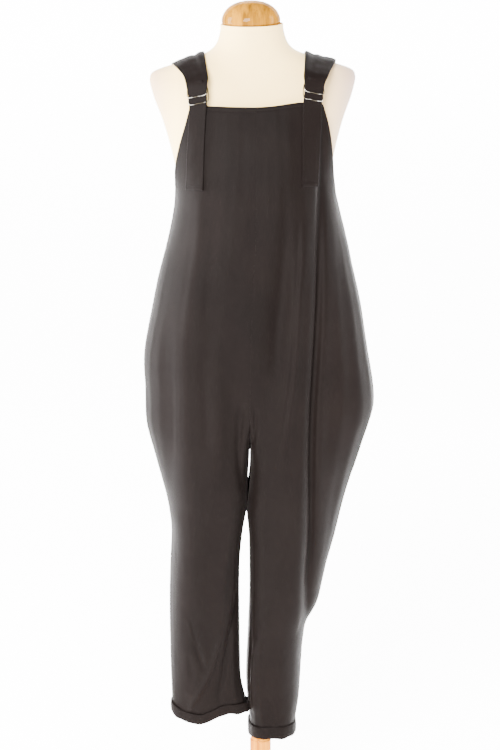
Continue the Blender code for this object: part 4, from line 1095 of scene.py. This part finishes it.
def strap_piece(side):
    """One strap with its tail: ridges over the shoulder, rolled edges and sunk stitching."""
    node, sign = f"strap_{side}", SIDE[side]
    middle = (sign * 0.07, 0.0, 1.38)
    rows = cloth_rows(
        node, STRAP_WALL, lambda place: Vector(middle), STRAP_CORNERS[side],
        step=(0.0035, 0.0030), reach=(0.015, 0.001),
    )
    v = marks_to(lengths_along(rows, 0)[-1], 0.0030, STRAP_STEPS)
    u = marks_to(lengths_along(rows, 1)[-1], 0.0022, STRAP_STEPS)
    part = u / u[-1]
    grid = reread(rows, v, u)
    normals = outward_normals(grid, middle)
    grid = drape(grid, normals, STRAP_WAVES)
    # the inner edge runs straight from the shoulder to the rings
    in_front = grid[:, :, 1] < 0.0
    neck = bell(grid[:, :, 2] - STRAP_NECK[side], NECK_REACH) * in_front
    grid[:, :, 0] -= sign * NECK_SHIFT * neck * (1.0 - part)
    height, spread, shift = STRAP_WAIST[side]
    grid[:, :, 0] += sign * shift * bell(grid[:, :, 2] - height, spread) * in_front * part
    # soft lengthwise ridges over the crown of the shoulder
    crown = bell(grid[:, :, 2] - grid[:, :, 2].max(), SHOULDER)
    grid = grid + normals * (crown * np.interp(part, *SHOULDER_RIDGES[side]))[:, :, None]
    to_side = np.minimum(u, u[-1] - u)[None, :]
    to_end = (v[-1] - v)[:, None]
    moved = TAIL_SWELL * np.clip((0.0086 - to_end) / 0.0014, 0.0, 1.0)
    moved = moved - 0.00035 * bell(to_end - HEM_ROW, 0.0010)
    moved = moved - 0.00030 * bell(to_side - EDGE_ROW, 0.0010)
    moved = moved - EDGE_ROLL * (bell(to_side, EDGE_ROLL) + bell(to_end, EDGE_ROLL))
    outer = grid + normals * moved[:, :, None]
    inner = grid - normals * (STRAP_WALL + 0.8 * np.minimum(moved, 0.0))[:, :, None]
    piece = cloth_mesh(f"{node}_cloth", outer, inner, flat_cut(u, v))
    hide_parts(node)
    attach(piece, "root")
    return outer, u, v


straps = {side: strap_piece(side) for side in ("right", "left")}

# ---------------------------------------------------------------- tabs and rings
# Short loops of crepe behind the bib's upper corners hold two D-shaped rings of steel wire
# each. The strap goes up through both and back down through the lower one, which locks it.

for side in ("right", "left"):
    tab = softened(f"tab_{side}", f"tab_{side}_cloth", charcoal)
    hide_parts(f"tab_{side}")
    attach(tab, "root")


def steel_wire(side, middle):
    """Polished bent steel wire with a random mottle, and painted shade that darkens both sides of
    the ring.
    """
    made, tree, shader = material(f"ring_steel_{side}", {"Metallic": 1.0, "Roughness": 0.16})
    place = added(tree, "ShaderNodeTexCoord", "Object")
    away = maths(tree, "ABSOLUTE", maths(tree, "SUBTRACT", along(tree, place, "X"), middle))
    # painted shade: the wire is darkened towards both sides of the ring, away from its middle
    painted_ring_shade = ranged(tree, away, 0.0145, 0.0180, 0.0, -0.22)
    mottle_and_painted_shade = maths(tree, "ADD", noisy(tree, place, 70.0, 1.0), painted_ring_shade)
    tone = ramp(tree, mottle_and_painted_shade, (0.36, (0.070, 0.058, 0.040)), (0.54, (0.50, 0.47, 0.42)))
    connect(tree, shader, {"Base Color": tone})
    return made


def node_tree(name, inputs):
    """An empty Geometry Nodes tree, and the outputs of its input node."""
    tree = bpy.data.node_groups.new(name, "GeometryNodeTree")
    for label, kind in (("Geometry", "Geometry"), *inputs, ("Material", "Material")):
        tree.interface.new_socket(label, in_out="INPUT", socket_type=f"NodeSocket{kind}")
    tree.interface.new_socket("Geometry", in_out="OUTPUT", socket_type="NodeSocketGeometry")
    return tree, tree.nodes.new("NodeGroupInput").outputs


def ended_tree(tree, geometry, covering):
    """Ends a tree: its instances are realized and get their material."""
    real = added(tree, "GeometryNodeRealizeInstances", "Geometry", {"Geometry": geometry})
    inputs = {"Geometry": real, "Material": covering}
    dressed = added(tree, "GeometryNodeSetMaterial", "Geometry", inputs)
    connect(tree, tree.nodes.new("NodeGroupOutput"), {"Geometry": dressed})
    return tree


def wire_tree():
    """A round wire along each line of edges."""
    tree, given = node_tree("round_wire", [("Radius", "Float")])
    line = added(tree, "GeometryNodeMeshToCurve", "Curve", {"Mesh": given["Geometry"]})
    section = {"Resolution": 14, "Radius": given["Radius"]}
    ring = added(tree, "GeometryNodeCurvePrimitiveCircle", "Curve", section)
    tube = added(tree, "GeometryNodeCurveToMesh", "Mesh", {"Curve": line, "Profile Curve": ring})
    return ended_tree(tree, tube, given["Material"])


def along_lines(name, lines, closed, tree, values):
    """The plain mesh that a Geometry Nodes tree makes along lines of points."""
    points = [tuple(point) for line in lines for point in line]
    edges, first = [], 0
    for line in lines:
        edges += [(k, k + 1) for k in range(first, first + len(line) - 1)]
        if closed:
            edges.append((first + len(line) - 1, first))
        first += len(line)
    mesh = bpy.data.meshes.new(name)
    mesh.from_pydata(points, edges, [])
    piece = in_scene(name, mesh)
    maker = piece.modifiers.new(tree.name, "NODES")
    maker.node_group = tree
    for item in tree.interface.items_tree:
        if item.in_out == "INPUT" and item.name in values:
            maker[item.identifier] = values[item.name]
    settled(piece)
    piece.data.shade_smooth()
    return piece


WIRE = 0.00085
RING_HALF, RING_CORNER = 0.0204, 0.0055
RING_DEPTHS = {"upper": 0.0255, "lower": 0.0280}
RING_DENTS = (0.0007, 95.0)  # how far the wire strays from its D, and how often
RING_PLACES = {
    # middle of the pair, turn about z and lean in degrees
    "right": ((-0.1186, -0.0850, 1.4938), -17.92, -11.0),
    "left": ((0.0970, -0.0859, 1.5000), 21.28, 11.0),
}
RING_BARS = {"upper": 0.0180, "lower": 0.0075}
RING_FRONT, RING_SLANT = 0.0085, 0.0132  # y at the bar, and how far the bow lies in front of it
RING_NARROW = 0.10  # how much narrower the ring is at its bar
DENT_PLACES = (0.0, 31.7, 63.1)  # where the noise is read for each of the three directions


def ring_line(side, level):
    """A D of bent wire: a straight bar behind the strap, a bow in front of it."""
    middle, yaw, lean = RING_PLACES[side]
    turned = (
        Matrix.Rotation(math.radians(yaw), 3, "Z") @ Matrix.Rotation(math.radians(lean), 3, "Y")
    )
    depth = RING_DEPTHS[level]
    near, low = RING_HALF - RING_CORNER, depth - RING_CORNER
    outline = []
    for across, down, first in (
        (near, RING_CORNER, -0.5), (near, low, 0.0), (-near, low, 0.5), (-near, RING_CORNER, 1.0),
    ):
        for k in range(7):
            turn = math.pi * (first + 0.5 * k / 6)
            corner = (across + RING_CORNER * math.cos(turn), down + RING_CORNER * math.sin(turn))
            outline.append(corner)
    line = []
    for start, end in zip(outline, outline[1:] + outline[:1]):
        steps = max(1, int(math.dist(start, end) / 0.0020))
        for k in range(steps):
            x, z = [here + (there - here) * k / steps for here, there in zip(start, end)]
            y = RING_FRONT - RING_SLANT * z / depth
            x *= 1.0 - RING_NARROW * (1.0 - z / depth) ** 2
            spot = Vector((x, z, y)) * RING_DENTS[1] + Vector(middle) * 90.0
            bend = [noise.noise(spot + Vector((0.0, 0.0, apart))) for apart in DENT_PLACES]
            bow = 1.6 * RING_DENTS[0] * min(1.0, max(0.0, z / depth - 0.2))
            stray = Vector((0.3 * bend[0], -0.3 * abs(bend[1]), bend[2])) * bow
            point = Vector((x, y, RING_BARS[level] - z)) + stray
            line.append(Vector(middle) + turned @ point)
    return line


round_wire = wire_tree()
for side in ("right", "left"):
    steel = steel_wire(side, RING_PLACES[side][0][0])
    for level in ("upper", "lower"):
        node = f"ring_{side}_{level}"
        values = {"Radius": WIRE, "Material": steel}
        ring = along_lines(f"{node}_wire", [ring_line(side, level)], True, round_wire, values)
        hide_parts(node)
        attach(ring, "root")

# ---------------------------------------------------------------- stitching
# Dark polyester thread: one row along the hems of the bib and the back, two along the straps,
# and one across the end of each tail.

STITCH = {"Step": 0.0030, "Size": (0.00022, 0.00022, 0.00115)}
THREAD_LIFT = 0.00012


def stitch_tree():
    """A short rounded stitch at every step along each line of edges."""
    tree, given = node_tree("stitch_rows", [("Step", "Float"), ("Size", "Vector")])
    line = added(tree, "GeometryNodeMeshToCurve", "Curve", {"Mesh": given["Geometry"]})
    steps = {"Curve": line, "Length": given["Step"]}
    spaced = added(tree, "GeometryNodeResampleCurve", "Curve", steps, mode="LENGTH")
    ball = {"Segments": 6, "Rings": 5, "Radius": 1.0}
    tangent = added(tree, "GeometryNodeInputTangent", "Tangent")
    turned = {"Vector": tangent}
    placed = added(tree, "GeometryNodeInstanceOnPoints", "Instances", {
        "Points": spaced, "Scale": given["Size"],
        "Instance": added(tree, "GeometryNodeMeshUVSphere", "Mesh", ball),
        "Rotation": added(
            tree, "FunctionNodeAlignRotationToVector", "Rotation", turned, axis="Z"
        ),
    })
    return ended_tree(tree, placed, given["Material"])


def row_at(grid, marks, place):
    """The row of a grid of points at a distance from its first one, a hair above the cloth."""
    at = min(range(len(marks)), key=lambda k: abs(marks[k] - place))
    normals = face_normals(grid)
    away = np.sign((grid[:, :, 1] * normals[:, :, 1]).sum())
    return grid[at] + THREAD_LIFT * away * normals[at]


dark_thread = material("dark_thread", {
    "Base Color": (0.0040, 0.0028, 0.0025, 1.0), "Roughness": 0.55, "Specular IOR Level": 0.04,
})[0]
stitches = stitch_tree()
seams = {}
for face in ("front", "back"):
    halves = [panels[face, side] for side in SIDE]
    seams[f"{face}_hem"] = [row_at(grid, v, HEM_ROW)[1:-1] for grid, _, _, v in halves]
for side in ("right", "left"):
    outer, u, v = straps[side]
    across = outer.transpose(1, 0, 2)
    seams[f"strap_{side}"] = [row_at(across, u, place) for place in (EDGE_ROW, u[-1] - EDGE_ROW)]
    seams[f"strap_{side}"].append(row_at(outer, v, v[-1] - HEM_ROW)[3:-3])
for name, lines in seams.items():
    values = STITCH | {"Material": dark_thread}
    piece = along_lines(f"stitches_{name}", lines, False, stitches, values)
    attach(piece, "root")

# ---------------------------------------------------------------- floor, light and camera
# A plain pale floor that runs up into a wall, lit by wide soft lights from both sides.

FLOOR_FRONT, FLOOR_BACK = -7.0, 5.0
FLOOR_HALF, WALL_TOP, FLOOR_BEND = 6.0, 6.0, 1.6


def studio():
    """The floor and wall: white, and glowing more behind the object than before it."""
    made, tree, shader = material("studio_white", {
        "Base Color": (0.90, 0.90, 0.90, 1.0), "Roughness": 1.0,
        "Specular IOR Level": 0.0, "Emission Color": (1.0, 1.0, 1.0, 1.0),
    })
    place = added(tree, "ShaderNodeTexCoord", "Object")
    glow = ranged(tree, along(tree, place, "Y"), -0.6, 0.3, 3.0, 8.6)
    connect(tree, shader, {"Emission Strength": glow})
    profile = [(FLOOR_FRONT, 0.0)]
    for k in range(13):
        turn = 0.5 * math.pi * k / 12
        back = FLOOR_BACK - FLOOR_BEND * (1.0 - math.sin(turn))
        profile.append((back, FLOOR_BEND * (1.0 - math.cos(turn))))
    profile.append((FLOOR_BACK, WALL_TOP))
    body = bmesh.new()
    sides = [[body.verts.new((x, y, z)) for y, z in profile] for x in (-FLOOR_HALF, FLOOR_HALF)]
    for k in range(len(profile) - 1):
        body.faces.new((sides[0][k], sides[1][k], sides[1][k + 1], sides[0][k + 1]))
    bmesh.ops.recalc_face_normals(body, faces=body.faces)
    floor = in_scene("studio_floor", mesh_of(body, "studio_floor"))
    floor.data.shade_smooth()
    floor.data.materials.append(made)


def soft_light(name, place, width, height, power):
    """A rectangular light that looks at the middle of the garment."""
    lamp = bpy.data.lights.new(name, "AREA")
    lamp.shape = "RECTANGLE"
    lamp.size, lamp.size_y = width, height
    lamp.energy = power
    holder = in_scene(name, lamp)
    holder.location = place
    aim = Vector((0.0, 0.0, 1.0)) - Vector(place)
    holder.rotation_euler = aim.to_track_quat("-Z", "Y").to_euler()


studio()
soft_light("light_left", (-3.4, 0.2, 1.7), 1.2, 2.6, 660.0)
soft_light("light_front", (-1.4, -4.4, 3.0), 2.0, 2.0, 1300.0)
soft_light("light_right", (3.4, 0.2, 2.0), 1.2, 2.6, 200.0)

world = bpy.data.worlds.new("studio_air")
world.use_nodes = True
air = {"Color": (1.0, 1.0, 1.0, 1.0), "Strength": 0.9}
connect(world.node_tree, world.node_tree.nodes["Background"], air)
bpy.context.scene.world = world

lens = bpy.data.cameras.new("camera")
lens.sensor_fit = "VERTICAL"
lens.sensor_height = 24.0
lens.lens = 53.18
camera = in_scene("camera", lens)
camera.location = (-0.0214, -3.2, 1.567)
camera.rotation_euler = (math.radians(79.0), 0.0, 0.0)
bpy.context.scene.camera = camera
